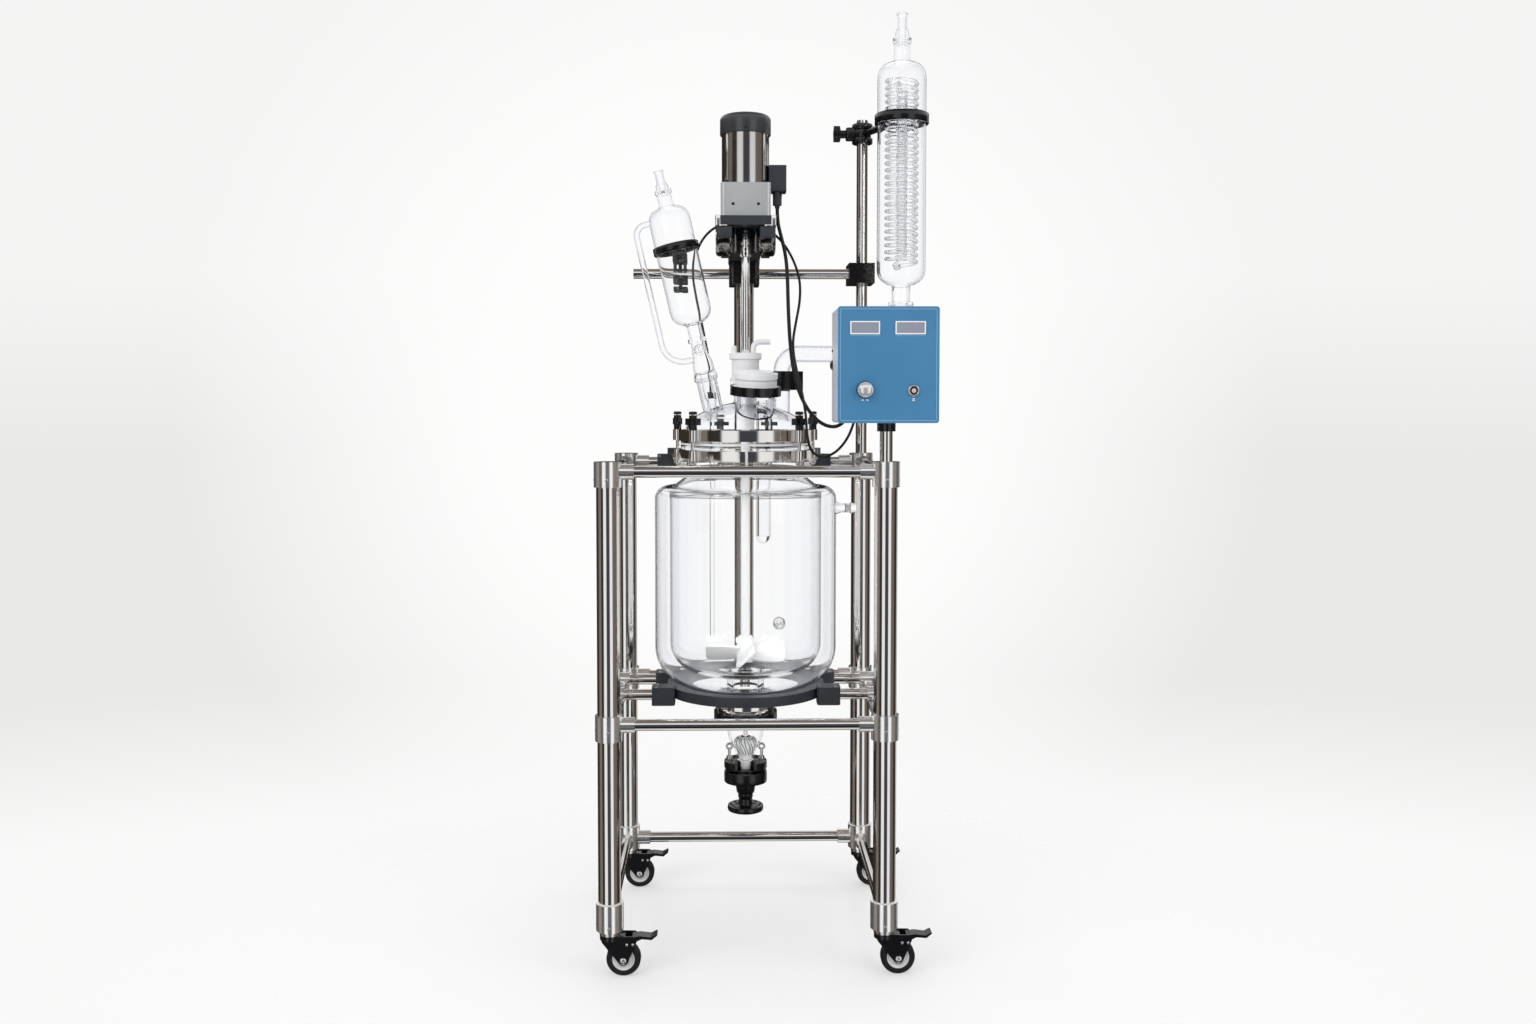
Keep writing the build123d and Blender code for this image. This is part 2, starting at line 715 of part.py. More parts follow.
# Clamp rings: over the lid's flange, under the vessel's flange and on the outlet flange
upper_ring_z = lid_flange_top - 7.5
lower_ring_z = vessel_top_z - flange_height - seat_gap - clamp_thickness
outlet_ring_z = outlet_flange_top + seat_gap
disc_bolt_circle = 65.0
with BuildPart() as clamp_rings:
    for base in (upper_ring_z, lower_ring_z):
        upright(0, 0, base, base + clamp_thickness, clamp_radius)
        with Locations((0, 0, base)):
            for angle in stud_angles:
                place = (stud_circle * cos(radians(angle)), stud_circle * sin(radians(angle)))
                with Locations(place):
                    Cylinder(11, clamp_thickness, align=STANDING)
    for side in (-1, 1):
        block(
            sorted((side * 3, side * 15)),
            (-clamp_radius - 20, -clamp_radius + 4),
            (lower_ring_z - 7, lower_ring_z + 18),
        )
    upright(0, 0, upper_ring_z - 1, lid_flange_top + seat_gap, flange_radius + 0.8, Mode.SUBTRACT)
    upright(0, 0, upper_ring_z, upper_ring_z + clamp_thickness + 1, dome_radius + 0.8, Mode.SUBTRACT)
    upright(0, 0, lower_ring_z - 1, lower_ring_z + clamp_thickness + 1, neck_radius + 0.6, Mode.SUBTRACT)
    block(
        (-3, 3),
        (-clamp_radius - 30, -neck_radius + 10),
        (lower_ring_z - 10, lower_ring_z + clamp_thickness + 1),
        Mode.SUBTRACT,
    )
    for angle in stud_angles:
        place = (stud_circle * cos(radians(angle)), stud_circle * sin(radians(angle)))
        upright(*place, lower_ring_z - 1, upper_ring_z + clamp_thickness + 1, stud_radius + 0.3, Mode.SUBTRACT)
    tube((0, 0, outlet_ring_z), (0, 0, outlet_ring_z + 10), disc_radius, disc_radius - outlet_radius - 0.5)
    with PolarLocations(disc_bolt_circle, 6):
        with Locations((0, 0, outlet_ring_z - 1)):
            Cylinder(3.2, 12, align=STANDING, mode=Mode.SUBTRACT)
clamp_rings.part.label = "clamp_rings"
export_step(clamp_rings.part, "parts/clamp_rings.step")

# Studs of the lid clamps, screw of the split ring, and bolts of the outlet flange and valve
disc_base_z = disc_top_z - disc_thickness
with BuildPart() as flange_studs:
    for angle in stud_angles:
        place = (stud_circle * cos(radians(angle)), stud_circle * sin(radians(angle)))
        upright(*place, lower_ring_z - 8, upper_ring_z + clamp_thickness + 41, stud_radius)
        upright(*place, lower_ring_z - 7, lower_ring_z, 8)
    for index in range(6):
        place = (disc_bolt_circle * cos(index * pi / 3), disc_bolt_circle * sin(index * pi / 3))
        upright(*place, disc_base_z - 7, outlet_ring_z + 14, 3)
        upright(*place, outlet_ring_z + 10, outlet_ring_z + 15, 5.5)
        upright(*place, disc_base_z - 5, disc_base_z, 5.5)
    for side in (-1, 1):
        upright(side * 38, 0, 384, 432, 3.5)
        upright(side * 38, 0, valve_top_z, valve_top_z + 8, 7)
flange_studs.part.label = "flange_studs"
export_step(flange_studs.part, "parts/flange_studs.step")

# Two-lobed knobs on the lid's studs
knob_base_z = upper_ring_z + clamp_thickness
with BuildPart() as clamp_knobs:
    for angle in stud_angles:
        place = (stud_circle * cos(radians(angle)), stud_circle * sin(radians(angle)))
        upright(*place, knob_base_z, knob_base_z + 34, 9)
        with BuildSketch(Plane.XY.offset(knob_base_z + 12)):
            with Locations(place):
                SlotOverall(46, 15, rotation=angle + 90)
        extrude(amount=15)
    for angle in stud_angles:
        place = (stud_circle * cos(radians(angle)), stud_circle * sin(radians(angle)))
        upright(*place, knob_base_z - 1, knob_base_z + 35, stud_radius + slip, Mode.SUBTRACT)
clamp_knobs.part.label = "clamp_knobs"
export_step(clamp_knobs.part, "parts/clamp_knobs.step")

# Arms that tie the lower ring to the rear top rail
arm_z = lower_ring_z + clamp_thickness / 2
with BuildPart() as neck_brackets:
    for side in (-1, 1):
        x = side * 196
        block((x - 24, x + 24), (rear_y - 26, rear_y + 20), (top_rail_z - 18, top_rail_z + 20))
        with BuildSketch(Plane.XY.offset(arm_z - 9)):
            with Locations((side * 180, rear_y - 30)):
                Circle(14)
            with Locations((side * 138, 98)):
                Circle(9)
            make_hull()
        extrude(amount=18)
    upright(0, 0, arm_z - 20, arm_z + 20, clamp_radius + seat_gap, Mode.SUBTRACT)
    rod((-230, rear_y, top_rail_z), (230, rear_y, top_rail_z), rail_radius + slip, Mode.SUBTRACT)
neck_brackets.part.label = "neck_brackets"
export_step(neck_brackets.part, "parts/neck_brackets.step")

# Stirrer seal: sleeve in the centre neck, housing above it and a cap with two nozzles
cap_top_z = 1366.0
seal_nozzle_z = cap_top_z + 26.7
with BuildPart() as seal_housing:
    with BuildSketch(Plane.XZ):
        with BuildLine():
            Polyline(
                (shaft_radius + run_fit, 1188),
                (21, 1188),
                (21, centre_neck_top_z),
                (36, centre_neck_top_z),
                (36, 1308),
                (32, 1308),
                (32, 1350),
                (37.5, 1352),
                (37.5, cap_top_z),
                (shaft_radius + run_fit, cap_top_z),
                close=True,
            )
        make_face()
    revolve(axis=Axis.Z)
    upright(-26.5, 0, cap_top_z - 4, cap_top_z + 17, 6)
    bent_pipe(((18, 0, cap_top_z - 4), (18, 0, seal_nozzle_z), (58, 0, seal_nozzle_z)), 16, 6.5)
    upright(-26.5, 0, cap_top_z - 8, cap_top_z + 18, 3.5, Mode.SUBTRACT)
    rod((35, 0, seal_nozzle_z), (59, 0, seal_nozzle_z), 4, Mode.SUBTRACT)
seal_housing.part.label = "seal_housing"
export_step(seal_housing.part, "parts/seal_housing.step")

# Band clamp of the charging port and toggle clamp of the vapour joint
with BuildPart() as joint_clamps:
    band_low, band_high = charging_neck_h - 12, charging_neck_h + 9
    rod(on_charging(band_low), on_charging(band_high), 58)
    rod(
        on_charging(charging_neck_h - 8 - seat_gap),
        on_charging(band_high + 1),
        charging_flange_radius + 0.4,
        Mode.SUBTRACT,
    )
    rod(on_charging(band_low - 1), on_charging(band_high), charging_neck_radius + 0.5, Mode.SUBTRACT)
    clamp_low, clamp_high = vapour_neck_top_z - 21, vapour_neck_top_z + 23
    upright(vapour_x, vapour_y, clamp_low, clamp_high, 33)
    block((vapour_x + 28, vapour_x + 50), (vapour_y - 14, vapour_y + 14), (clamp_low, clamp_high))
    block((vapour_x - 50, vapour_x - 25), (vapour_y - 7, vapour_y + 7), (clamp_high - 16, clamp_high - 2))
    upright(vapour_x, vapour_y, clamp_low + 12, clamp_high - 12, 27, Mode.SUBTRACT)
    upright(vapour_x, vapour_y, clamp_low - 1, clamp_high + 1, vapour_radius + 0.5, Mode.SUBTRACT)
joint_clamps.part.label = "joint_clamps"
export_step(joint_clamps.part, "parts/joint_clamps.step")

# Charging cover: a stepped plug that lifts out of the port
with BuildPart() as charging_cover:
    cover_steps = (
        (-10, seat_gap, charging_neck_radius - 5.5),
        (seat_gap, 8, charging_flange_radius),
        (8, 22, 48),
        (22, 26, 44),
        (26, 38, 49.5),
        (38, 42, 40),
    )
    for low, high, radius in cover_steps:
        rod(on_charging(charging_neck_h + low), on_charging(charging_neck_h + high), radius)
charging_cover.part.label = "charging_cover"
export_step(charging_cover.part, "parts/charging_cover.step")

# Thermometer well and dip tube, closed at their lower ends
with BuildPart() as probe_tubes:
    upright(well_x, well_y, 690, well_top_z, 6)
    upright(well_x, well_y, well_top_z - 14, well_top_z, 10 - slip)
    upright(well_x, well_y, well_top_z, well_top_z + 16, 14)
    upright(dip_x, dip_y, 932, dip_top_z, 18)
    with Locations((dip_x, dip_y, 932)):
        Sphere(18)
    upright(dip_x, dip_y, dip_top_z, dip_top_z + 8, 24)
    upright(dip_x, dip_y, 932, dip_top_z + 4, 15, Mode.SUBTRACT)
probe_tubes.part.label = "probe_tubes"
export_step(probe_tubes.part, "parts/probe_tubes.step")

# Vapour pipe from the lid to the foot of the condenser
with BuildPart() as vapour_elbow:
    run = (
        (vapour_x, vapour_y, vapour_neck_top_z + seat_gap),
        (vapour_x, vapour_y, vapour_run_z),
        (condenser_x, condenser_y, vapour_run_z),
        (condenser_x, condenser_y, condenser_base_z - seat_gap),
    )
    bent_pipe(run, (42, 42), vapour_radius)
    upright(vapour_x, vapour_y, vapour_neck_top_z + seat_gap, vapour_neck_top_z + 8, 26)
    upright(condenser_x, condenser_y, condenser_base_z - 12, condenser_base_z - seat_gap, 30)
    with BuildLine() as pipe_route:
        FilletPolyline(*run, radius=(42, 42))
    with BuildSketch(Plane(origin=pipe_route.line @ 0, z_dir=pipe_route.line % 0)):
        Circle(vapour_radius - vapour_wall)
    sweep(path=pipe_route.line, mode=Mode.SUBTRACT)
vapour_elbow.part.label = "vapour_elbow"
export_step(vapour_elbow.part, "parts/vapour_elbow.step")


def condenser_outline(shrink):
    """Half outline of the condenser's glass, moved inwards by shrink."""
    radius = condenser_radius - shrink
    neck = vapour_radius - shrink
    foot = 22 - shrink
    low_bend, high_bend = condenser_floor_z + 36, condenser_top_z - 40
    Polyline(
        (0, condenser_base_z - shrink),
        (foot, condenser_base_z - shrink),
        (foot, condenser_floor_z + shrink),
    )
    ThreePointArc(
        (foot, condenser_floor_z + shrink),
        (foot + (radius - foot) * 0.72, condenser_floor_z + shrink + (36 - shrink) * 0.3),
        (radius, low_bend),
    )
    Line((radius, low_bend), (radius, high_bend))
    ThreePointArc(
        (radius, high_bend),
        (neck + (radius - neck) * 0.72, condenser_top_z - shrink - (40 - shrink) * 0.3),
        (neck, condenser_top_z - shrink),
    )
    Polyline(
        (neck, condenser_top_z - shrink),
        (neck, condenser_neck_top_z + shrink),
        (0, condenser_neck_top_z + shrink),
        (0, condenser_base_z - shrink),
    )


# Condenser jacket with domed ends, a flange at the foot and holes for the water nozzles
condenser_plane = Plane(origin=(condenser_x, condenser_y, 0), x_dir=(1, 0, 0), z_dir=(0, -1, 0))
condenser_axis = Axis((condenser_x, condenser_y, 0), (0, 0, 1))
nozzle_radius = 6.0
nozzle_heights = (coil_base_z, coil_base_z + coil_height)
with BuildPart() as condenser_body:
    with BuildSketch(condenser_plane):
        with BuildLine():
            condenser_outline(0)
        make_face()
    revolve(axis=condenser_axis)
    upright(condenser_x, condenser_y, condenser_base_z, condenser_base_z + 8, 30)
    with BuildSketch(condenser_plane):
        with BuildLine():
            condenser_outline(condenser_wall)
        make_face()
    revolve(axis=condenser_axis, mode=Mode.SUBTRACT)
    for z in nozzle_heights:
        start, end = (condenser_x, condenser_y + 30, z), (condenser_x, condenser_y + 70, z)
        rod(start, end, nozzle_radius + slip, Mode.SUBTRACT)
condenser_body.part.label = "condenser_body"
export_step(condenser_body.part, "parts/condenser_body.step")

# Cooling coil: its turns go round in short straight runs and end beside the water nozzles
coil_path = []
for index in range(round(coil_height / coil_pitch) * coil_sides + 1):
    turned = 2 * pi * (index / coil_sides + 0.25)
    height = coil_base_z + coil_pitch * index / coil_sides
    coil_path.append((condenser_x + coil_radius * cos(turned), condenser_y + coil_radius * sin(turned), height))
with BuildPart() as condenser_coil:
    with BuildLine() as coil_line:
        Polyline(*coil_path)
    with BuildSketch(Plane(origin=coil_line.line @ 0, z_dir=coil_line.line % 0)):
        RegularPolygon(coil_tube_radius, 4)
    sweep(path=coil_line.line, transition=Transition.RIGHT)
condenser_coil.part.label = "condenser_coil"
export_step(condenser_coil.part, "parts/condenser_coil.step")

# Adapters on the condenser and on the funnel, and the condenser's water nozzles
adapter_steps = ((-14, 0, 15), (0, 5, 23), (5, 22, 17.9), (22, 60, 11.5), (60, 63, 13.6))
funnel_neck_top_s = funnel_top_s + 36
funnel_adapter_steps = ((-12, 0, 11.5), (0, 5, 20), (5, 18, 15), (18, 46, 10), (46, 49, 12))
with BuildPart() as top_adapters:
    for low, high, radius in adapter_steps:
        upright(condenser_x, condenser_y, condenser_neck_top_z + low, condenser_neck_top_z + high, radius)
    for low, high, radius in funnel_adapter_steps:
        rod(on_funnel(0, funnel_neck_top_s + low), on_funnel(0, funnel_neck_top_s + high), radius)
    for z in nozzle_heights:
        start = (condenser_x, condenser_y + coil_radius + coil_tube_radius - 0.6, z)
        rod(start, (condenser_x, condenser_y + condenser_radius + 32, z), nozzle_radius)
        collar_y = condenser_y + condenser_radius + 1
        rod((condenser_x, collar_y, z), (condenser_x, collar_y + 4, z), nozzle_radius + 2.5)
    top = condenser_neck_top_z
    upright(condenser_x, condenser_y, top - 15, top + 64, 8, Mode.SUBTRACT)
    rod(on_funnel(0, funnel_neck_top_s - 13), on_funnel(0, funnel_neck_top_s + 50), 7, Mode.SUBTRACT)
    for z in nozzle_heights:
        start, end = (condenser_x, condenser_y + 40, z), (condenser_x, condenser_y + 100, z)
        rod(start, end, 3.5, Mode.SUBTRACT)
top_adapters.part.label = "top_adapters"
export_step(top_adapters.part, "parts/top_adapters.step")


def funnel_outline(shrink):
    """Half outline of the funnel's glass in its own plane, moved inwards by shrink."""
    radius, neck, foot = funnel_radius - shrink, 17 - shrink, 17 - shrink
    low, high = 200.0, funnel_top_s - 34
    Polyline((0, funnel_joint_s + 6), (foot, funnel_joint_s + 6), (foot, funnel_body_s + shrink))
    ThreePointArc(
        (foot, funnel_body_s + shrink),
        (foot + (radius - foot) * 0.72, funnel_body_s + shrink + (low - funnel_body_s - shrink) * 0.3),
        (radius, low),
    )
    Line((radius, low), (radius, high))
    ThreePointArc(
        (radius, high),
        (neck + (radius - neck) * 0.72, funnel_top_s - shrink - (34 - shrink) * 0.3),
        (neck, funnel_top_s - shrink),
    )
    Polyline((neck, funnel_top_s - shrink), (neck, funnel_neck_top_s + shrink), (0, funnel_neck_top_s + shrink))
    Line((0, funnel_neck_top_s + shrink), (0, funnel_joint_s + 6))


# Dropping funnel: leaning glass body, joint cone, stopcock barrel and equalising pipe
stopcock_s = 139.0
with BuildPart() as funnel_body:
    with BuildSketch(funnel_plane):
        with BuildLine():
            funnel_outline(0)
        make_face()
    revolve(axis=funnel_axis)
    rod(on_funnel(0, funnel_joint_s + seat_gap), on_funnel(0, funnel_joint_s + 7), 28)
    rod(on_funnel(0, funnel_joint_s - 50), on_funnel(0, funnel_joint_s + 1), 14)
    rod(on_funnel(0, stopcock_s, -22), on_funnel(0, stopcock_s, 26), 13)
    pipe_points = [
        on_funnel(-funnel_radius + 2, funnel_top_s - 30),
        on_funnel(-equaliser_offset, funnel_top_s - 30),
        on_funnel(-equaliser_offset, stopcock_s - 20),
        on_funnel(-14, stopcock_s - 20),
    ]
    bent_pipe(pipe_points, (26, 52), equaliser_radius)
    with BuildSketch(funnel_plane):
        with BuildLine():
            funnel_outline(funnel_wall)
        make_face()
        with Locations((0, stopcock_s)):
            Rectangle(60, 36, mode=Mode.SUBTRACT)
    revolve(axis=funnel_axis, mode=Mode.SUBTRACT)
    rod(on_funnel(0, funnel_joint_s - 51), on_funnel(0, stopcock_s + 20), 5, Mode.SUBTRACT)
    rod(on_funnel(0, stopcock_s, -18), on_funnel(0, stopcock_s, 27), 8 + run_fit, Mode.SUBTRACT)
funnel_body.part.label = "funnel_body"
export_step(funnel_body.part, "parts/funnel_body.step")

# Stopcock plug with its key at the back
with BuildPart() as funnel_stopcock:
    rod(on_funnel(0, stopcock_s, -17), on_funnel(0, stopcock_s, 40), 8)
    rod(on_funnel(0, stopcock_s, 27), on_funnel(0, stopcock_s, 31), 12)
    rod(on_funnel(-22, stopcock_s, 37), on_funnel(22, stopcock_s, 37), 5)
    rod(on_funnel(0, stopcock_s - 9), on_funnel(0, stopcock_s + 9), 3, Mode.SUBTRACT)
funnel_stopcock.part.label = "funnel_stopcock"
export_step(funnel_stopcock.part, "parts/funnel_stopcock.step")

# Ring holders: condenser ring on its rod, funnel ring on the cross rod
funnel_ring_s = 382.0
clamp_x = -160.0
with BuildPart() as ring_holders:
    upright(condenser_x, condenser_y, holder_z - 12, holder_z + 12, 65)
    rod((condenser_x - 16, condenser_y + 35, holder_z), (post_half_x, rear_y, holder_z), 9)
    upright(post_half_x, rear_y, holder_z - 25, holder_z + 25, 26)
    block((post_half_x - 42, post_half_x), (rear_y - 14, rear_y + 14), (holder_z - 18, holder_z + 18))
    rod(on_funnel(0, funnel_ring_s - 9), on_funnel(0, funnel_ring_s + 9), 54.5)
    ring_x, _, ring_z = on_funnel(0, funnel_ring_s)
    rod((ring_x, 50, ring_z), (ring_x, cross_rod_y, ring_z), 7)
    block((clamp_x - 22, clamp_x + 22), (cross_rod_y - 24, cross_rod_y + 24), (cross_rod_z - 50, ring_z + 14))
    upright(
        condenser_x,
        condenser_y,
        holder_z - 20,
        holder_z + 20,
        condenser_radius + seat_gap,
        Mode.SUBTRACT,
    )
    upright(post_half_x, rear_y, holder_z - 30, holder_z + 30, condenser_rod_radius + slip, Mode.SUBTRACT)
    rod(
        on_funnel(0, funnel_ring_s - 20),
        on_funnel(0, funnel_ring_s + 20),
        funnel_radius + seat_gap,
        Mode.SUBTRACT,
    )
    rod((-200, cross_rod_y, cross_rod_z), (-100, cross_rod_y, cross_rod_z), rail_radius + slip, Mode.SUBTRACT)
    knob_bore_end = post_half_x - condenser_rod_radius - 1
    rod((post_half_x - 43, rear_y, holder_z), (knob_bore_end, rear_y, holder_z), 5 + run_fit, Mode.SUBTRACT)
ring_holders.part.label = "ring_holders"
export_step(ring_holders.part, "parts/ring_holders.step")

# Knob that tightens the condenser's holder
with BuildPart() as condenser_knob:
    knob_face_x = post_half_x - 42 - 0.5
    rod((knob_face_x - 8, rear_y, holder_z), (knob_bore_end - 0.5, rear_y, holder_z), 5)
    rod((knob_face_x - 14, rear_y, holder_z), (knob_face_x, rear_y, holder_z), 10)
    with BuildSketch(Plane(origin=(knob_face_x - 30, rear_y, holder_z), z_dir=(1, 0, 0))):
        Circle(17)
        with PolarLocations(16, 5):
            Circle(5)
    extrude(amount=16)
condenser_knob.part.label = "condenser_knob"
export_step(condenser_knob.part, "parts/condenser_knob.step")

# Motor bracket: plate, webs and the arm back to the column
plate_base_z = column_top_z
with BuildPart() as motor_bracket:
    half = plate_width / 2
    block((-half, half), (-half, half - 10), (plate_base_z, plate_base_z + plate_thickness))
    for side in (-1, 1):
        with BuildSketch(Plane.YZ.offset(side * 37 - (20 if side < 0 else 0))):
            with BuildLine():
                Polyline((-45, plate_base_z), (-45, plate_base_z - 34))
                RadiusArc((-45, plate_base_z - 34), (20, plate_base_z - 66), 70)
                Polyline(
                    (20, plate_base_z - 66),
                    (60, plate_base_z - 50),
                    (60, plate_base_z),
                    (-45, plate_base_z),
                )
            make_face()
        extrude(amount=20)
    block((-38, 38), (34, rear_y - 20), (plate_base_z - 52, plate_base_z))
    upright(0, rear_y, cross_rod_z + 28 + slip, column_top_z, 40)
    upright(0, 0, plate_base_z - 2, plate_base_z + plate_thickness + 1, 16, Mode.SUBTRACT)
    upright(0, rear_y, cross_rod_z, column_top_z + 1, post_radius + slip, Mode.SUBTRACT)
motor_bracket.part.label = "motor_bracket"
export_step(motor_bracket.part, "parts/motor_bracket.step")

# Gearbox, motor and its cap
gearbox_base_z = plate_base_z + plate_thickness
motor_base_z = gearbox_base_z + gearbox_height
cap_base_z = motor_base_z + motor_height
with BuildPart() as gearbox:
    half = gearbox_width / 2
    block((-half, half), (-half, half), (gearbox_base_z, motor_base_z))
    fillet(gearbox.edges().filter_by(Axis.Z), 8)
    upright(0, 0, gearbox_base_z - 1, gearbox_base_z + 6, 8 + run_fit, Mode.SUBTRACT)
gearbox.part.label = "gearbox"
export_step(gearbox.part, "parts/gearbox.step")

with BuildPart() as motor_body:
    with BuildSketch(Plane.XY.offset(motor_base_z)):
        Circle(motor_radius - 2)
        with PolarLocations(motor_radius - 3, 12):
            Rectangle(6, 8)
    extrude(amount=motor_height)
motor_body.part.label = "motor_body"
export_step(motor_body.part, "parts/motor_body.step")

with BuildPart() as motor_cap:
    upright(0, 0, cap_base_z, cap_base_z + motor_cap_height, motor_cap_radius)
    fillet(motor_cap.edges().group_by(Axis.Z)[-1], 8)
motor_cap.part.label = "motor_cap"
export_step(motor_cap.part, "parts/motor_cap.step")

# Junction box on the motor's side with a cable gland under it
gland_x = 74.0
junction_base_z = motor_base_z - 14
junction_top_z = motor_base_z + 45
gland_low_z = junction_base_z - 30
with BuildPart() as junction_box:
    block((gearbox_width / 2 - 3.5, 94.5), (-25, 25), (motor_base_z, junction_top_z))
    block((gearbox_width / 2 + 0.5, 94.5), (-25, 25), (junction_base_z, motor_base_z))
    fillet(junction_box.edges().filter_by(Axis.Z).sort_by(Axis.X)[-2:], 5)
    upright(gland_x, 0, gland_low_z, junction_base_z, 10.5)
    upright(0, 0, motor_base_z - 1, junction_top_z + 1, motor_radius + 1 + seat_gap, Mode.SUBTRACT)
junction_box.part.label = "junction_box"
export_step(junction_box.part, "parts/junction_box.step")

# Stirrer: coupling, shaft and four-bladed turbine
coupling_top_z = plate_base_z - 4
coupling_base_z = coupling_top_z - 61
shaft_top_z = coupling_base_z + 22
with BuildPart() as shaft_coupling:
    upright(0, 0, coupling_base_z, coupling_top_z, 15)
    upright(0, 0, coupling_top_z, gearbox_base_z + 5, 8)
    upright(0, 0, coupling_base_z - 1, shaft_top_z + slip, shaft_radius + slip, Mode.SUBTRACT)
shaft_coupling.part.label = "shaft_coupling"
export_step(shaft_coupling.part, "parts/shaft_coupling.step")

with BuildPart() as stirrer_shaft:
    upright(0, 0, hub_base_z + 4, shaft_top_z, shaft_radius)
stirrer_shaft.part.label = "stirrer_shaft"
export_step(stirrer_shaft.part, "parts/stirrer_shaft.step")

with BuildPart() as stirrer_paddle:
    upright(0, 0, hub_base_z, hub_base_z + hub_height, hub_radius)
    for angle in (0, 90, 180, 270):
        out = (cos(radians(angle)), sin(radians(angle)), 0)
        root = (out[0] * 15, out[1] * 15, hub_base_z + 23)
        blade_plane = Plane(origin=root, z_dir=out, x_dir=(-out[1], out[0], 0))
        with BuildSketch(blade_plane):
            Rectangle(blade_width, blade_thickness, rotation=blade_pitch)
        extrude(amount=blade_tip_radius - 15)
    upright(0, 0, hub_base_z + 4 - slip, hub_base_z + hub_height + 1, shaft_radius + slip, Mode.SUBTRACT)
stirrer_paddle.part.label = "stirrer_paddle"
export_step(stirrer_paddle.part, "parts/stirrer_paddle.step")

# Control box: folded shell with two cable glands at the back
box_low_x, box_high_x = box_centre_x - box_width / 2, box_centre_x + box_width / 2
box_back_y = box_front_y + box_depth
box_top_z = box_base_z + box_height
panel_back_y = box_front_y + panel_thickness
gland_z = box_base_z + 12
gland_end_y = box_back_y + 12
motor_gland_x, sensor_gland_x = 222.0, 246.0
with BuildPart() as control_box:
    block((box_low_x, box_high_x), (panel_back_y, box_back_y), (box_base_z, box_top_z))
    fillet(control_box.edges().filter_by(Axis.Y), 6)
    hollow_span_x = (box_low_x + box_wall, box_high_x - box_wall)
    hollow_span_z = (box_base_z + box_wall, box_top_z - box_wall)
    block(hollow_span_x, (panel_back_y - 1, box_back_y - box_wall), hollow_span_z, Mode.SUBTRACT)
    for x in (motor_gland_x, sensor_gland_x):
        rod((x, box_back_y, gland_z), (x, gland_end_y, gland_z), 9)
control_box.part.label = "control_box"
export_step(control_box.part, "parts/control_box.step")

# Front panel with a raised rim and openings for the knob, the switch and two displays
display_height = 27.6
display_middle_z = box_top_z - 44.7
display_z_span = (display_middle_z - display_height / 2, display_middle_z + display_height / 2)
display_spans = ((box_low_x + 25.5, box_low_x + 88.0), (box_high_x - 92.7, box_high_x - 29.0))
with BuildPart() as control_panel:
    block((box_low_x, box_high_x), (box_front_y, panel_back_y), (box_base_z, box_top_z))
    fillet(control_panel.edges().filter_by(Axis.Y), 6)
    block(
        (box_low_x + 6, box_high_x - 6),
        (box_front_y - 1, box_front_y + 1),
        (box_base_z + 6, box_top_z - 6),
        Mode.SUBTRACT,
    )
    for span in display_spans:
        block(span, (box_front_y - 2, panel_back_y + 1), display_z_span, Mode.SUBTRACT)
    rod((knob_x, box_front_y - 1, knob_z), (knob_x, panel_back_y + 1, knob_z), 3 + run_fit, Mode.SUBTRACT)
    rod(
        (button_x, box_front_y - 1, button_z),
        (button_x, panel_back_y + 1, button_z),
        11 + slip,
        Mode.SUBTRACT,
    )
control_panel.part.label = "control_panel"
export_step(control_panel.part, "parts/control_panel.step")

# Two display windows with bezels, and the ring around the push switch
panel_face_y = box_front_y + 1
with BuildPart() as panel_trims:
    for low, high in display_spans:
        block(
            (low + slip, high - slip),
            (panel_face_y, panel_back_y + 8),
            (display_z_span[0] + slip, display_z_span[1] - slip),
        )
        block(
            (low - 3, high + 3),
            (panel_face_y - 2.5, panel_face_y),
            (display_z_span[0] - 3, display_z_span[1] + 3),
        )
        block((low, high), (panel_face_y - 3, panel_face_y - 1.5), display_z_span, Mode.SUBTRACT)
    rod((button_x, panel_face_y - 2.5, button_z), (button_x, panel_face_y, button_z), 12.7)
    rod((button_x, panel_face_y, button_z), (button_x, panel_back_y + 12, button_z), 11)
    rod(
        (button_x, panel_face_y - 3, button_z),
        (button_x, panel_back_y + 13, button_z),
        button_radius + run_fit,
        Mode.SUBTRACT,
    )
panel_trims.part.label = "panel_trims"
export_step(panel_trims.part, "parts/panel_trims.step")

# Speed knob and push switch
with BuildPart() as speed_knob:
    rod((knob_x, panel_face_y - 1, knob_z), (knob_x, panel_back_y + 12, knob_z), 3)
    with BuildSketch(Plane(origin=(knob_x, panel_face_y - seat_gap, knob_z), z_dir=(0, -1, 0))):
        Circle(knob_radius)
    extrude(amount=18, taper=3)
    block(
        (knob_x - 1, knob_x + 1),
        (panel_face_y - 20, panel_face_y - 17),
        (knob_z + 4, knob_z + 14),
        Mode.SUBTRACT,
    )
speed_knob.part.label = "speed_knob"
export_step(speed_knob.part, "parts/speed_knob.step")

with BuildPart() as power_button:
    rod((button_x, panel_face_y - 6, button_z), (button_x, panel_back_y + 12, button_z), button_radius)
power_button.part.label = "power_button"
export_step(power_button.part, "parts/power_button.step")

# Bottom valve: disc under the outlet, glass body, black body, plug and handwheel
with BuildPart() as drain_flange:
    tube((0, 0, disc_base_z), (0, 0, disc_top_z), disc_radius, disc_radius - 24)
    with PolarLocations(disc_bolt_circle, 6):
        with Locations((0, 0, disc_base_z - 1)):
            Cylinder(3.2, disc_thickness + 2, align=STANDING, mode=Mode.SUBTRACT)
drain_flange.part.label = "drain_flange"
export_step(drain_flange.part, "parts/drain_flange.step")

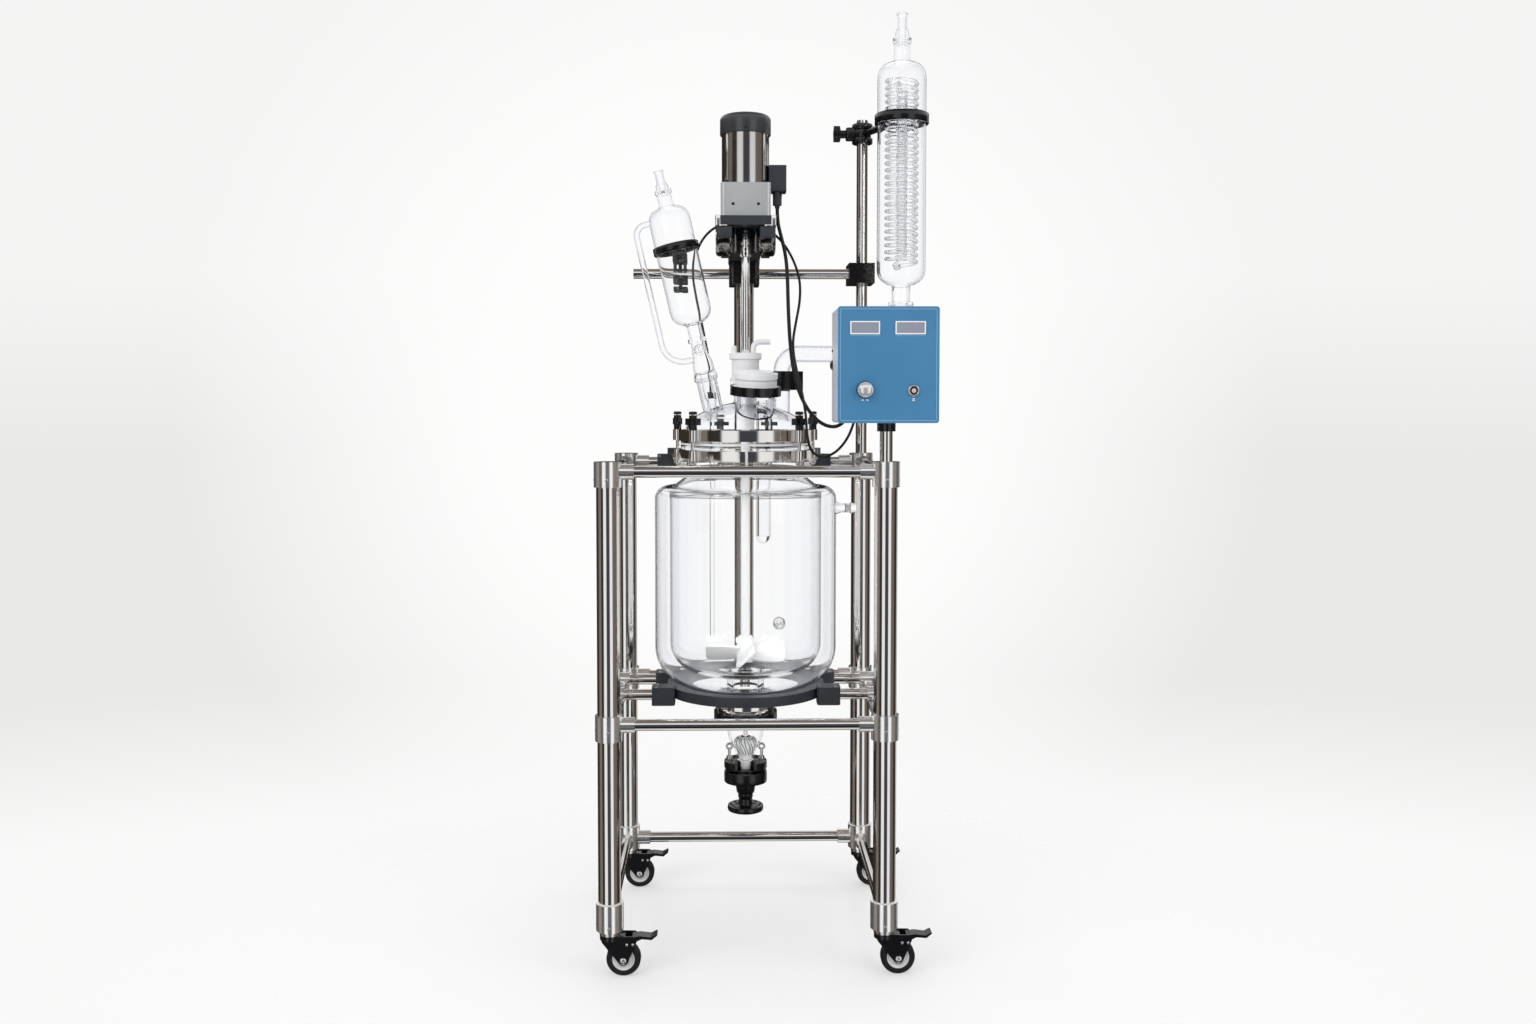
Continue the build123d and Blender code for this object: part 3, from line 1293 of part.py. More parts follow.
glass_radius = 42.5
glass_wall = 4.0
glass_top_z = disc_base_z - seat_gap
with BuildPart() as drain_glass:
    with BuildSketch(Plane.XZ):
        with BuildLine():
            Polyline(
                (glass_radius - glass_wall, glass_top_z),
                (50, glass_top_z),
                (50, glass_top_z - 8),
                (glass_radius, glass_top_z - 8),
                (glass_radius, 470),
            )
            ThreePointArc((glass_radius, 470), (34, 444), (19, 426))
            Polyline(
                (19, 426),
                (19, 413),
                (28, 413),
                (28, valve_top_z + seat_gap),
                (15, valve_top_z + seat_gap),
                (15, 426),
            )
            ThreePointArc((15, 426), (30.5, 446), (glass_radius - glass_wall, 470))
            Line((glass_radius - glass_wall, 470), (glass_radius - glass_wall, glass_top_z))
        make_face()
    revolve(axis=Axis.Z)
drain_glass.part.label = "drain_glass"
export_step(drain_glass.part, "parts/drain_glass.step")

with BuildPart() as valve_body:
    body_steps = (
        (386, valve_top_z, valve_flange_radius),
        (382, 386, 34),
        (352, 382, valve_flange_radius),
        (326, 352, 22.5),
        (handwheel_top_z + seat_gap, 326, 14),
    )
    for low, high, radius in body_steps:
        upright(0, 0, low, high, radius)
    rod((0, 20, valve_outlet_z), (0, 110, valve_outlet_z), valve_outlet_radius)
    rod((0, 20, valve_outlet_z), (0, 58, valve_outlet_z), valve_outlet_radius + 2)
    upright(0, 0, 358, valve_top_z + 1, 20, Mode.SUBTRACT)
    upright(0, 0, handwheel_top_z, 360, stem_radius + run_fit, Mode.SUBTRACT)
    rod((0, 10, valve_outlet_z), (0, 111, valve_outlet_z), 9, Mode.SUBTRACT)
    for side in (-1, 1):
        upright(side * 38, 0, 383, valve_top_z + 1, 3.6, Mode.SUBTRACT)
valve_body.part.label = "valve_body"
export_step(valve_body.part, "parts/valve_body.step")

with BuildPart() as drain_plug:
    with BuildSketch(Plane.XZ):
        with BuildLine():
            bellows = [(9 if index % 2 else 13, 452 + 4 * index) for index in range(12)]
            Polyline(
                (0, 303),
                (stem_radius, 303),
                (stem_radius, 450),
                *bellows,
                (stem_radius, 500),
                (23.4, 505),
                (23.4, 518),
                (14, 523),
                (0, 523),
                close=True,
            )
        make_face()
    revolve(axis=Axis.Z)
drain_plug.part.label = "drain_plug"
export_step(drain_plug.part, "parts/drain_plug.step")

with BuildPart() as handwheel:
    rim_top_z = handwheel_base_z + handwheel_rim
    upright(0, 0, handwheel_base_z, rim_top_z, handwheel_radius)
    fillet(handwheel.edges(), 4)
    upright(0, 0, rim_top_z - 1, handwheel_top_z, handwheel_hub_radius)
    upright(0, 0, handwheel_base_z - 1, handwheel_top_z + 1, stem_radius + run_fit, Mode.SUBTRACT)
handwheel.part.label = "handwheel"
export_step(handwheel.part, "parts/handwheel.step")


def cord_radii(points):
    """Largest tangent arc that the two runs beside each point allow."""
    radii = []
    for before, here, after in zip(points, points[1:], points[2:]):
        run_in = Vector(*here) - Vector(*before)
        run_out = Vector(*after) - Vector(*here)
        turn = radians(run_in.get_angle(run_out))
        radii.append(0.45 * min(run_in.length, run_out.length) / tan(turn / 2))
    return radii


# Motor lead from the junction box to the control box
motor_cord_radius = 4.2
motor_cord = [
    (gland_x, 0.0, gland_low_z),
    (gland_x, 0.0, 1672.0),
    (84.0, -3.0, 1634.0),
    (93.8, -8.0, 1592.0),
    (97.6, -14.0, 1542.0),
    (98.4, -20.0, 1490.0),
    (100.0, -28.0, 1438.0),
    (102.7, -36.0, 1386.0),
    (108.6, -40.0, 1334.0),
    (120.1, -44.0, 1280.0),
    (143.4, -52.0, 1232.0),
    (170.7, -64.0, 1203.0),
    (200.0, -79.0, 1193.0),
    (219.0, -106.0, 1203.0),
    (motor_gland_x, -131.0, gland_z),
    (motor_gland_x, gland_end_y, gland_z),
]
with BuildPart() as motor_cable:
    radii = cord_radii(motor_cord)
    print("motor cable radii", [round(radius) for radius in radii])
    bent_pipe(motor_cord, radii, motor_cord_radius)
motor_cable.part.label = "motor_cable"
export_step(motor_cable.part, "parts/motor_cable.step")

# Sensor lead from the control box, behind the drive, to the thermometer well
sensor_cord_radius = 3.0
sensor_cord = [
    (sensor_gland_x, gland_end_y, gland_z),
    (sensor_gland_x, -130.0, gland_z),
    (244.0, -104.0, 1205.0),
    (236.0, -90.0, 1178.0),
    (220.0, -94.0, 1153.0),
    (198.0, -106.0, 1134.0),
    (172.0, -120.0, 1126.0),
    (150.0, -132.0, 1136.0),
    (140.0, -139.0, 1155.0),
    (135.0, -141.0, 1184.0),
    (134.0, -134.0, 1218.0),
    (128.8, -124.0, 1256.0),
    (120.2, -112.0, 1298.0),
    (110.9, -86.0, 1342.0),
    (106.8, -58.0, 1388.0),
    (116.9, -26.0, 1438.0),
    (128.3, 8.0, 1490.0),
    (129.7, 38.0, 1542.0),
    (115.0, 64.0, 1592.0),
    (90.0, 78.0, 1636.0),
    (54.0, 88.0, 1668.0),
    (12.0, 92.0, 1682.0),
    (-32.0, 93.0, 1684.0),
    (-74.0, 94.0, 1672.0),
    (-104.0, 96.0, 1642.0),
    (-121.0, 98.0, 1600.0),
    (-125.0, 99.0, 1556.0),
    (-118.0, 99.0, 1512.0),
    (-108.0, 99.0, 1462.0),
    (-98.0, 95.0, 1412.0),
    (-89.0, 86.0, 1366.0),
    (well_x, well_y, 1322.0),
    (well_x, well_y, well_top_z + 16),
]
with BuildPart() as sensor_cable:
    radii = cord_radii(sensor_cord)
    print("sensor cable radii", [round(radius) for radius in radii])
    bent_pipe(sensor_cord, radii, sensor_cord_radius)
sensor_cable.part.label = "sensor_cable"
export_step(sensor_cable.part, "parts/sensor_cable.step")
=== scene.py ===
import math

import bmesh
import bpy
from mathutils import Euler, Matrix, Vector


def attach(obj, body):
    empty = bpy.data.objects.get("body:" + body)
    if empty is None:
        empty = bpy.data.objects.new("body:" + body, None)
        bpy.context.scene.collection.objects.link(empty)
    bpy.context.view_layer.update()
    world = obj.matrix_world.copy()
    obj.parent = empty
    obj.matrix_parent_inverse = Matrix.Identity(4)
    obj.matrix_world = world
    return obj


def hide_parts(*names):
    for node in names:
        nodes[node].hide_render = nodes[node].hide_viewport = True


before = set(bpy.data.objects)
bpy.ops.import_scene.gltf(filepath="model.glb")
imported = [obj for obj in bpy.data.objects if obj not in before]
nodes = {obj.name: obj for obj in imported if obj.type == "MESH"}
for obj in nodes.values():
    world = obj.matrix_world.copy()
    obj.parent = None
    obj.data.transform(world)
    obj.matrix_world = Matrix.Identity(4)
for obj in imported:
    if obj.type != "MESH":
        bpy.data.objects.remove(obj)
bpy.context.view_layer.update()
scene = bpy.context.scene
print("frame loaded:", len(nodes), "nodes")

# Camera, fitted to the stand, the drive and the condenser in the photograph
cameraSetup = {
    "place": (-0.0432, -3.0068, 1.2406),
    "tiltDown": 0.046,
    "turnRight": 0.0178,
    "focal": 30.04,
    "shift": (0.0118, -0.03),
}


def makeCamera(setup):
    data = bpy.data.cameras.new("reactorCamera")
    data.lens = setup["focal"]
    data.sensor_width = 36.0
    data.sensor_fit = "HORIZONTAL"
    data.shift_x, data.shift_y = setup["shift"]
    data.clip_end = 60
    camera = bpy.data.objects.new("reactorCamera", data)
    camera.location = setup["place"]
    camera.rotation_euler = Euler((math.pi / 2 - setup["tiltDown"], 0, -setup["turnRight"]))
    scene.collection.objects.link(camera)
    scene.camera = camera


makeCamera(cameraSetup)


# Shader node groups shared by several finishes

def startGroup(name, inputs, outputs):
    group = bpy.data.node_groups.new(name, "ShaderNodeTree")
    for label, kind, value in inputs:
        socket = group.interface.new_socket(name=label, in_out="INPUT", socket_type=kind)
        socket.default_value = value
    for label, kind in outputs:
        group.interface.new_socket(name=label, in_out="OUTPUT", socket_type=kind)
    entry = group.nodes.new("NodeGroupInput")
    leave = group.nodes.new("NodeGroupOutput")
    return group, entry, leave


def setSockets(node, values):
    for label, value in values.items():
        node.inputs[label].default_value = value


def addNode(tree, kind, settings=None, sockets=None):
    node = tree.nodes.new(kind)
    for label, value in (settings or {}).items():
        setattr(node, label, value)
    setSockets(node, sockets or {})
    return node


def addMath(tree, operation, first, second=None, clamp=False):
    node = addNode(tree, "ShaderNodeMath", {"operation": operation, "use_clamp": clamp})
    for socket, value in zip(node.inputs, (first, second)):
        if value is None:
            continue
        if isinstance(value, (int, float)):
            socket.default_value = value
        else:
            tree.links.new(value, socket)
    return node.outputs[0]


def fillRamp(ramp, stops):
    elements = ramp.color_ramp.elements
    while len(elements) < len(stops):
        elements.new(0.5)
    for element, (place, _) in zip(elements, stops):
        element.position = place
    for element, (_, colour) in zip(elements, stops):
        element.color = (*colour, 1)


surfaceOutputs = (
    ("Color", "NodeSocketColor"), ("Roughness", "NodeSocketFloat"), ("Height", "NodeSocketFloat"),
)


def buildPolishGroup():
    # Fine lines round a tube, broken by faint smears, for rolled and polished metal
    inputs = (
        ("Base", "NodeSocketColor", (0.8, 0.8, 0.8, 1)),
        ("Roughness", "NodeSocketFloat", 0.2),
        ("Across", "NodeSocketFloat", 900.0),
        ("Along", "NodeSocketFloat", 6.0),
        ("Variation", "NodeSocketFloat", 0.08),
    )
    group, entry, leave = startGroup("polishLines", inputs, surfaceOutputs)
    link = group.links.new
    place = addNode(group, "ShaderNodeTexCoord")
    scale = addNode(group, "ShaderNodeCombineXYZ")
    link(entry.outputs["Across"], scale.inputs[0])
    link(entry.outputs["Across"], scale.inputs[1])
    link(entry.outputs["Along"], scale.inputs[2])
    stretch = addNode(group, "ShaderNodeVectorMath", {"operation": "MULTIPLY"})
    link(place.outputs["Object"], stretch.inputs[0])
    link(scale.outputs[0], stretch.inputs[1])
    lines = addNode(group, "ShaderNodeTexNoise", {"noise_dimensions": "3D"}, {"Scale": 1.0, "Detail": 3.0})
    link(stretch.outputs[0], lines.inputs["Vector"])
    smears = addNode(group, "ShaderNodeTexNoise", None, {"Scale": 14.0, "Detail": 4.0, "Roughness": 0.6})
    link(place.outputs["Object"], smears.inputs["Vector"])
    both = addMath(group, "ADD", lines.outputs[0], smears.outputs[0])
    spread = addMath(group, "MULTIPLY", addMath(group, "SUBTRACT", both, 1.0), entry.outputs["Variation"])
    rough = addMath(group, "ADD", spread, entry.outputs["Roughness"], clamp=True)
    tone = addMath(group, "ADD", addMath(group, "MULTIPLY", smears.outputs[0], 0.16), 0.9)
    shade = addNode(group, "ShaderNodeVectorMath", {"operation": "SCALE"})
    link(entry.outputs["Base"], shade.inputs[0])
    link(tone, shade.inputs["Scale"])
    link(shade.outputs[0], leave.inputs["Color"])
    link(rough, leave.inputs["Roughness"])
    link(lines.outputs[0], leave.inputs["Height"])
    return group


def buildGrainGroup():
    # Even speckle of moulded plastic, castings and powder coat
    inputs = (
        ("Base", "NodeSocketColor", (0.1, 0.1, 0.1, 1)),
        ("Light", "NodeSocketColor", (0.2, 0.2, 0.2, 1)),
        ("Roughness", "NodeSocketFloat", 0.4),
        ("Size", "NodeSocketFloat", 700.0),
        ("Variation", "NodeSocketFloat", 0.1),
    )
    group, entry, leave = startGroup("fineGrain", inputs, surfaceOutputs)
    link = group.links.new
    place = addNode(group, "ShaderNodeTexCoord")
    grain = addNode(group, "ShaderNodeTexNoise", None, {"Detail": 2.0, "Roughness": 0.5})
    link(place.outputs["Object"], grain.inputs["Vector"])
    link(entry.outputs["Size"], grain.inputs["Scale"])
    patches = addNode(group, "ShaderNodeTexNoise", None, {"Scale": 9.0, "Detail": 5.0, "Roughness": 0.55})
    link(place.outputs["Object"], patches.inputs["Vector"])
    tone = addNode(group, "ShaderNodeMix", {"data_type": "RGBA"})
    link(patches.outputs[0], tone.inputs["Factor"])
    link(entry.outputs["Base"], tone.inputs[6])
    link(entry.outputs["Light"], tone.inputs[7])
    spread = addMath(
        group, "MULTIPLY", addMath(group, "SUBTRACT", patches.outputs[0], 0.5), entry.outputs["Variation"],
    )
    rough = addMath(group, "ADD", spread, entry.outputs["Roughness"], clamp=True)
    link(tone.outputs[2], leave.inputs["Color"])
    link(rough, leave.inputs["Roughness"])
    link(grain.outputs[0], leave.inputs["Height"])
    return group


polishGroup = buildPolishGroup()
grainGroup = buildGrainGroup()


def startMaterial(name):
    material = bpy.data.materials.new(name)
    material.use_nodes = True
    tree = material.node_tree
    shader = next(node for node in tree.nodes if node.type == "BSDF_PRINCIPLED")
    return material, tree, shader


def addBump(tree, shader, height, strength, distance):
    bump = addNode(tree, "ShaderNodeBump", None, {"Strength": strength, "Distance": distance})
    tree.links.new(height, bump.inputs["Height"])
    tree.links.new(bump.outputs[0], shader.inputs["Normal"])


def makeMetal(name, look):
    material, tree, shader = startMaterial(name)
    link = tree.links.new
    values = {
        "Base": (*look["colour"], 1),
        "Roughness": look["roughness"],
        "Across": look.get("across", 900.0),
        "Along": look.get("along", 6.0),
        "Variation": 0.05,
    }
    lines = addNode(tree, "ShaderNodeGroup", {"node_tree": polishGroup}, values)
    link(lines.outputs["Color"], shader.inputs["Base Color"])
    link(lines.outputs["Roughness"], shader.inputs["Roughness"])
    shader.inputs["Metallic"].default_value = look.get("metallic", 1.0)
    addBump(tree, shader, lines.outputs["Height"], look.get("bump", 0.02), 0.0002)
    return material


def makeMoulded(name, look):
    material, tree, shader = startMaterial(name)
    link = tree.links.new
    values = {
        "Base": (*look["colour"], 1),
        "Light": (*look["light"], 1),
        "Roughness": look["roughness"],
        "Size": 700.0,
        "Variation": 0.08,
    }
    grain = addNode(tree, "ShaderNodeGroup", {"node_tree": grainGroup}, values)
    link(grain.outputs["Color"], shader.inputs["Base Color"])
    link(grain.outputs["Roughness"], shader.inputs["Roughness"])
    coat = {"Coat Weight": look.get("coat", 0.0), "Coat Roughness": 0.08}
    setSockets(shader, {"Metallic": look.get("metallic", 0.0), **coat})
    addBump(tree, shader, grain.outputs["Height"], look.get("bump", 0.08), 0.0003)
    return material


def makeGlass(name, look):
    # The body tone is painted darker towards the edges, where the wall is seen at a slant: painted shade
    # that draws the dark outlines of the glass
    material, tree, shader = startMaterial(name)
    link = tree.links.new
    slant = addNode(tree, "ShaderNodeLayerWeight", None, {"Blend": look["blend"]})
    ramp = addNode(tree, "ShaderNodeValToRGB")
    fillRamp(ramp, look["tones"])
    link(slant.outputs["Facing"], ramp.inputs[0])
    waves = addNode(tree, "ShaderNodeTexNoise", None, {"Scale": 9.0, "Detail": 0.0})
    coords = addNode(tree, "ShaderNodeTexCoord")
    link(coords.outputs["Object"], waves.inputs["Vector"])
    link(ramp.outputs[0], shader.inputs["Base Color"])
    setSockets(shader, {"Roughness": 0.0, "IOR": look["bend"], "Transmission Weight": 1.0})
    addBump(tree, shader, waves.outputs[0], 0.03, 0.001)
    return material


# Tone at each slant, square on, then towards the outline, where it turns dark as painted shade along the
# glass edges
glassTones = (
    (0.0, (0.998, 0.999, 1.0)),
    (0.2, (0.990, 0.993, 0.999)),
    (0.55, (0.958, 0.967, 0.990)),
    (0.86, (0.86, 0.875, 0.92)),
    (1.0, (0.22, 0.23, 0.27)),
)
bodyTones = (
    (0.0, (0.992, 0.994, 0.999)),
    (0.3, (0.980, 0.984, 0.994)),
    (0.55, (0.935, 0.943, 0.970)),
    (0.70, (0.72, 0.73, 0.775)),
    (1.0, (0.20, 0.21, 0.24)),
)
pipeTones = (
    (0.0, (0.985, 0.988, 0.996)),
    (0.2, (0.965, 0.970, 0.985)),
    (0.38, (0.89, 0.90, 0.935)),
    (0.52, (0.62, 0.63, 0.68)),
    (1.0, (0.20, 0.21, 0.24)),
)
# The coil's tones turn darkest of all, painted shade that outlines the thin tube
coilTones = (
    (0.0, (0.97, 0.972, 0.98)),
    (0.35, (0.86, 0.865, 0.885)),
    (0.62, (0.50, 0.505, 0.525)),
    (0.85, (0.16, 0.16, 0.17)),
    (1.0, (0.05, 0.05, 0.055)),
)
metalLooks = {
    "stainless": {"name": "polishedStainless", "colour": (0.80, 0.78, 0.76), "roughness": 0.075},
    "collar": {
        "name": "collarStainless", "colour": (0.88, 0.87, 0.85), "roughness": 0.14, "metallic": 0.9,
    },
    "zinc": {"name": "zincPlate", "colour": (0.78, 0.78, 0.78), "roughness": 0.24},
    "motorSteel": {"name": "motorSteel", "colour": (0.62, 0.60, 0.58), "roughness": 0.12, "along": 4.0},
    "gearAlloy": {
        "name": "gearAlloy", "colour": (0.76, 0.77, 0.78), "roughness": 0.32, "across": 300.0,
        "metallic": 0.72, "bump": 0.003,
    },
    "chrome": {"name": "chromeTrim", "colour": (0.90, 0.90, 0.91), "roughness": 0.06},
    "darkSteel": {"name": "darkSteel", "colour": (0.30, 0.285, 0.27), "roughness": 0.14},
    "shaft": {"name": "shaftSteel", "colour": (0.92, 0.91, 0.90), "roughness": 0.17},
    "satin": {"name": "satinKnob", "colour": (0.86, 0.86, 0.87), "roughness": 0.26, "metallic": 0.7},
}
mouldedLooks = {
    "slate": {
        "name": "slateCasting", "colour": (0.022, 0.026, 0.032), "light": (0.034, 0.039, 0.046),
        "roughness": 0.42, "bump": 0.12,
    },
    "black": {
        "name": "blackMoulding", "colour": (0.002, 0.002, 0.0025), "light": (0.006, 0.006, 0.007),
        "roughness": 0.24, "coat": 0.15,
    },
    "rubber": {
        "name": "blackRubber", "colour": (0.004, 0.004, 0.0045), "light": (0.009, 0.009, 0.01),
        "roughness": 0.5,
    },
    "capGrey": {
        "name": "motorCapGrey", "colour": (0.040, 0.042, 0.047), "light": (0.060, 0.062, 0.068),
        "roughness": 0.30, "coat": 0.3, "metallic": 0.3,
    },
    "ptfe": {
        "name": "whitePtfe", "colour": (0.82, 0.82, 0.82), "light": (0.90, 0.90, 0.90), "roughness": 0.4,
    },
    "boxGrey": {
        "name": "boxSideGrey", "colour": (0.60, 0.61, 0.69), "light": (0.66, 0.67, 0.75),
        "roughness": 0.4,
    },
    "panelBlue": {
        "name": "panelBlue", "colour": (0.050, 0.205, 0.385), "light": (0.066, 0.232, 0.425),
        "roughness": 0.38, "coat": 0.15,
    },
    "display": {
        "name": "displayWindow", "colour": (0.26, 0.275, 0.33), "light": (0.33, 0.345, 0.40),
        "roughness": 0.2, "coat": 0.3,
    },
    "white": {
        "name": "whiteFrame", "colour": (0.86, 0.86, 0.86), "light": (0.92, 0.92, 0.92),
        "roughness": 0.35,
    },
    "lampPink": {
        "name": "buttonLens", "colour": (0.55, 0.42, 0.42), "light": (0.68, 0.56, 0.56),
        "roughness": 0.25, "coat": 0.5,
    },
    "rimGrey": {
        "name": "wheelRimGrey", "colour": (0.66, 0.66, 0.67), "light": (0.80, 0.80, 0.80),
        "roughness": 0.26, "metallic": 0.3,
    },
    "panelBead": {
        "name": "panelBeadBlue", "colour": (0.18, 0.40, 0.58), "light": (0.24, 0.47, 0.65),
        "roughness": 0.35,
    },
}
glassLooks = {
    "glass": {"name": "borosilicate", "blend": 0.42, "tones": glassTones, "bend": 1.25},
    "bodyGlass": {"name": "borosilicateBodies", "blend": 0.45, "tones": bodyTones, "bend": 1.2},
    "pipeGlass": {"name": "borosilicatePipes", "blend": 0.45, "tones": pipeTones, "bend": 1.2},
    "coilGlass": {"name": "coilTube", "blend": 0.5, "tones": coilTones, "bend": 1.25},
}
finishes = {}
for maker, looks in ((makeMetal, metalLooks), (makeMoulded, mouldedLooks), (makeGlass, glassLooks)):
    for label, look in looks.items():
        finishes[label] = maker(look["name"], look)

nodeFinish = {
    "stainless": "corner_posts rails stand_rods flange_studs stirrer_shaft clamp_rings",
    "collar": "post_collars shaft_coupling rail_tees",
    "zinc": "caster_stems",
    "motorSteel": "motor_body",
    "gearAlloy": "gearbox",
    "slate": "support_ring ring_blocks motor_bracket junction_box neck_brackets",
    "black": (
        "rod_clamps joint_clamps condenser_knob drain_flange valve_body handwheel clamp_knobs "
        "ring_holders caster_fork_front_left caster_fork_front_right caster_fork_rear_left "
        "caster_fork_rear_right caster_pedal_front_left caster_pedal_front_right "
        "caster_pedal_rear_left caster_pedal_rear_right"
    ),
    "rubber": (
        "caster_wheel_front_left caster_wheel_front_right caster_wheel_rear_left caster_wheel_rear_right "
        "motor_cable sensor_cable"
    ),
    "capGrey": "motor_cap",
    "ptfe": "flange_gasket seal_housing charging_cover stirrer_paddle drain_plug",
    "boxGrey": "control_box",
    "panelBlue": "control_panel",
    "display": "panel_trims",
    "chrome": "speed_knob power_button",
    "glass": (
        "vessel lid vapour_elbow condenser_body condenser_coil funnel_body drain_glass top_adapters "
        "probe_tubes funnel_stopcock"
    ),
}


def dressNodes():
    for finish, names in nodeFinish.items():
        for name in names.split():
            target = nodes[name]
            target.data.materials.clear()
            target.data.materials.append(finishes[finish])
            target.visible_shadow = finish != "glass"


dressNodes()
print("nodes dressed")


# Leads: the same control points as in the part's source, in millimetres
leads = {
    "motorLead": {
        "node": "motor_cable",
        "radius": 0.0042,
        "points": (
            (74, 0, 1709), (74, 0, 1672), (84, -3, 1634), (93.8, -8, 1592), (97.6, -14, 1542),
            (98.4, -20, 1490), (100, -28, 1438), (102.7, -36, 1386), (108.6, -40, 1334),
            (120.1, -44, 1280), (143.4, -52, 1232), (170.7, -64, 1203), (200, -79, 1193),
            (219, -106, 1203), (222, -131, 1218.6), (222, -163, 1218.6),
        ),
    },
    "sensorLead": {
        "node": "sensor_cable",
        "radius": 0.003,
        "points": (
            (246, -163, 1218.6), (246, -130, 1218.6), (244, -104, 1205), (236, -90, 1178),
            (220, -94, 1153), (198, -106, 1134), (172, -120, 1126), (150, -132, 1136), (140, -139, 1155),
            (135, -141, 1184), (134, -134, 1218), (128.8, -124, 1256), (120.2, -112, 1298),
            (110.9, -86, 1342), (106.8, -58, 1388), (116.9, -26, 1438), (128.3, 8, 1490),
            (129.7, 38, 1542), (115, 64, 1592), (90, 78, 1636), (54, 88, 1668), (12, 92, 1682),
            (-32, 93, 1684), (-74, 94, 1672), (-104, 96, 1642), (-121, 98, 1600), (-125, 99, 1556),
            (-118, 99, 1512), (-108, 99, 1462), (-98, 95, 1412), (-89, 86, 1366), (-80, 75, 1322),
            (-80, 75, 1278),
        ),
    },
}


def makeLead(name, lead):
    curve = bpy.data.curves.new(name, "CURVE")
    curve.dimensions = "3D"
    curve.bevel_depth = lead["radius"]
    curve.bevel_resolution = 4
    curve.resolution_u = 10
    curve.use_fill_caps = True
    spline = curve.splines.new("NURBS")
    spline.points.add(len(lead["points"]) - 1)
    for place, target in zip(lead["points"], spline.points):
        target.co = (place[0] / 1000, place[1] / 1000, place[2] / 1000, 1)
    spline.order_u = 3
    spline.use_endpoint_u = True
    piece = bpy.data.objects.new(name, curve)
    scene.collection.objects.link(piece)
    curve.materials.append(finishes["rubber"])
    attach(piece, "stand")
    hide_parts(lead["node"])


for leadName, leadData in leads.items():
    makeLead(leadName, leadData)


# Mesh helpers: all sizes in millimetres, turned to metres when a piece is finished

def mergeInto(bm, part):
    # Copies one closed form into a piece's mesh
    mesh = bpy.data.meshes.new("part")
    part.to_mesh(mesh)
    part.free()
    bm.from_mesh(mesh)
    bpy.data.meshes.remove(mesh)


def turnTo(axis):
    return Vector((0, 0, 1)).rotation_difference(Vector(axis)).to_matrix().to_4x4()


def onCircle(radius, degrees, height=0.0):
    angle = math.radians(degrees)
    return (radius * math.cos(angle), radius * math.sin(angle), height)


def arcPoints(centre, radius, start, end, steps=10):
    angles = [math.radians(start + (end - start) * step / steps) for step in range(steps + 1)]
    return [(centre[0] + radius * math.cos(a), centre[1] + radius * math.sin(a)) for a in angles]


def addBand(bm, lower, upper):
    # Four-sided faces between two rings of points
    count = len(lower)
    for step in range(count):
        after = (step + 1) % count
        bm.faces.new((lower[step], lower[after], upper[after], upper[step]))


def joinRings(bm, rings):
    # Bands from each ring to the next, and from the last back to the first
    for lower, upper in zip(rings, rings[1:] + rings[:1]):
        addBand(bm, lower, upper)


def addLathe(bm, outline, centre=(0, 0, 0), axis=(0, 0, 1), segments=48, closed=False):
    # The outline runs out from the axis, up the outside and back; a wall's outline is closed
    place = Matrix.Translation(centre) @ turnTo(axis)
    rings = []
    for radius, height in outline:
        if radius < 1e-6:
            rings.append([bm.verts.new(place @ Vector((0, 0, height)))])
            continue
        angles = [2 * math.pi * step / segments for step in range(segments)]
        spots = [(radius * math.cos(a), radius * math.sin(a), height) for a in angles]
        rings.append([bm.verts.new(place @ Vector(spot)) for spot in spots])
    pairs = list(zip(rings, rings[1:]))
    if closed:
        pairs.append((rings[-1], rings[0]))
    for lower, upper in pairs:
        if len(lower) > 1 and len(upper) > 1:
            addBand(bm, lower, upper)
            continue
        for step in range(segments):
            after = (step + 1) % segments
            if len(lower) == 1:
                bm.faces.new((lower[0], upper[after], upper[step]))
            else:
                bm.faces.new((lower[step], lower[after], upper[0]))


def addDisc(bm, radius, low, high, centre=(0, 0, 0), axis=(0, 0, 1), edge=0.6, segments=48):
    # A round bar or disc with rounded rims
    outline = [
        (0, low), (radius - edge, low), (radius - edge * 0.3, low + edge * 0.3), (radius, low + edge),
        (radius, high - edge), (radius - edge * 0.3, high - edge * 0.3), (radius - edge, high), (0, high),
    ]
    addLathe(bm, outline, centre, axis, segments)


def addBlock(bm, low, high, edge=1.0, steps=2):
    # A box with rounded edges
    part = bmesh.new()
    bmesh.ops.create_cube(part, size=1.0)
    size = [b - a for a, b in zip(low, high)]
    middle = [(a + b) / 2 for a, b in zip(low, high)]
    bmesh.ops.transform(
        part, matrix=Matrix.Translation(middle) @ Matrix.Diagonal((*size, 1)), verts=part.verts,
    )
    bmesh.ops.bevel(part, geom=part.edges[:], offset=edge, segments=steps, profile=0.5, affect="EDGES")
    mergeInto(bm, part)


def addSlab(bm, outline, place, low, high, edge=0.8):
    # An outline drawn in a plane, extruded along the plane's normal, with rounded rims
    part = bmesh.new()
    lower = [part.verts.new(place @ Vector((x, y, low))) for x, y in outline]
    upper = [part.verts.new(place @ Vector((x, y, high))) for x, y in outline]
    caps = [part.faces.new(lower), part.faces.new(upper)]
    addBand(part, lower, upper)
    bmesh.ops.recalc_face_normals(part, faces=part.faces[:])
    rims = list({rim for cap in caps for rim in cap.edges})
    if edge:
        bmesh.ops.bevel(part, geom=rims, offset=edge, segments=2, profile=0.5, affect="EDGES")
    mergeInto(bm, part)


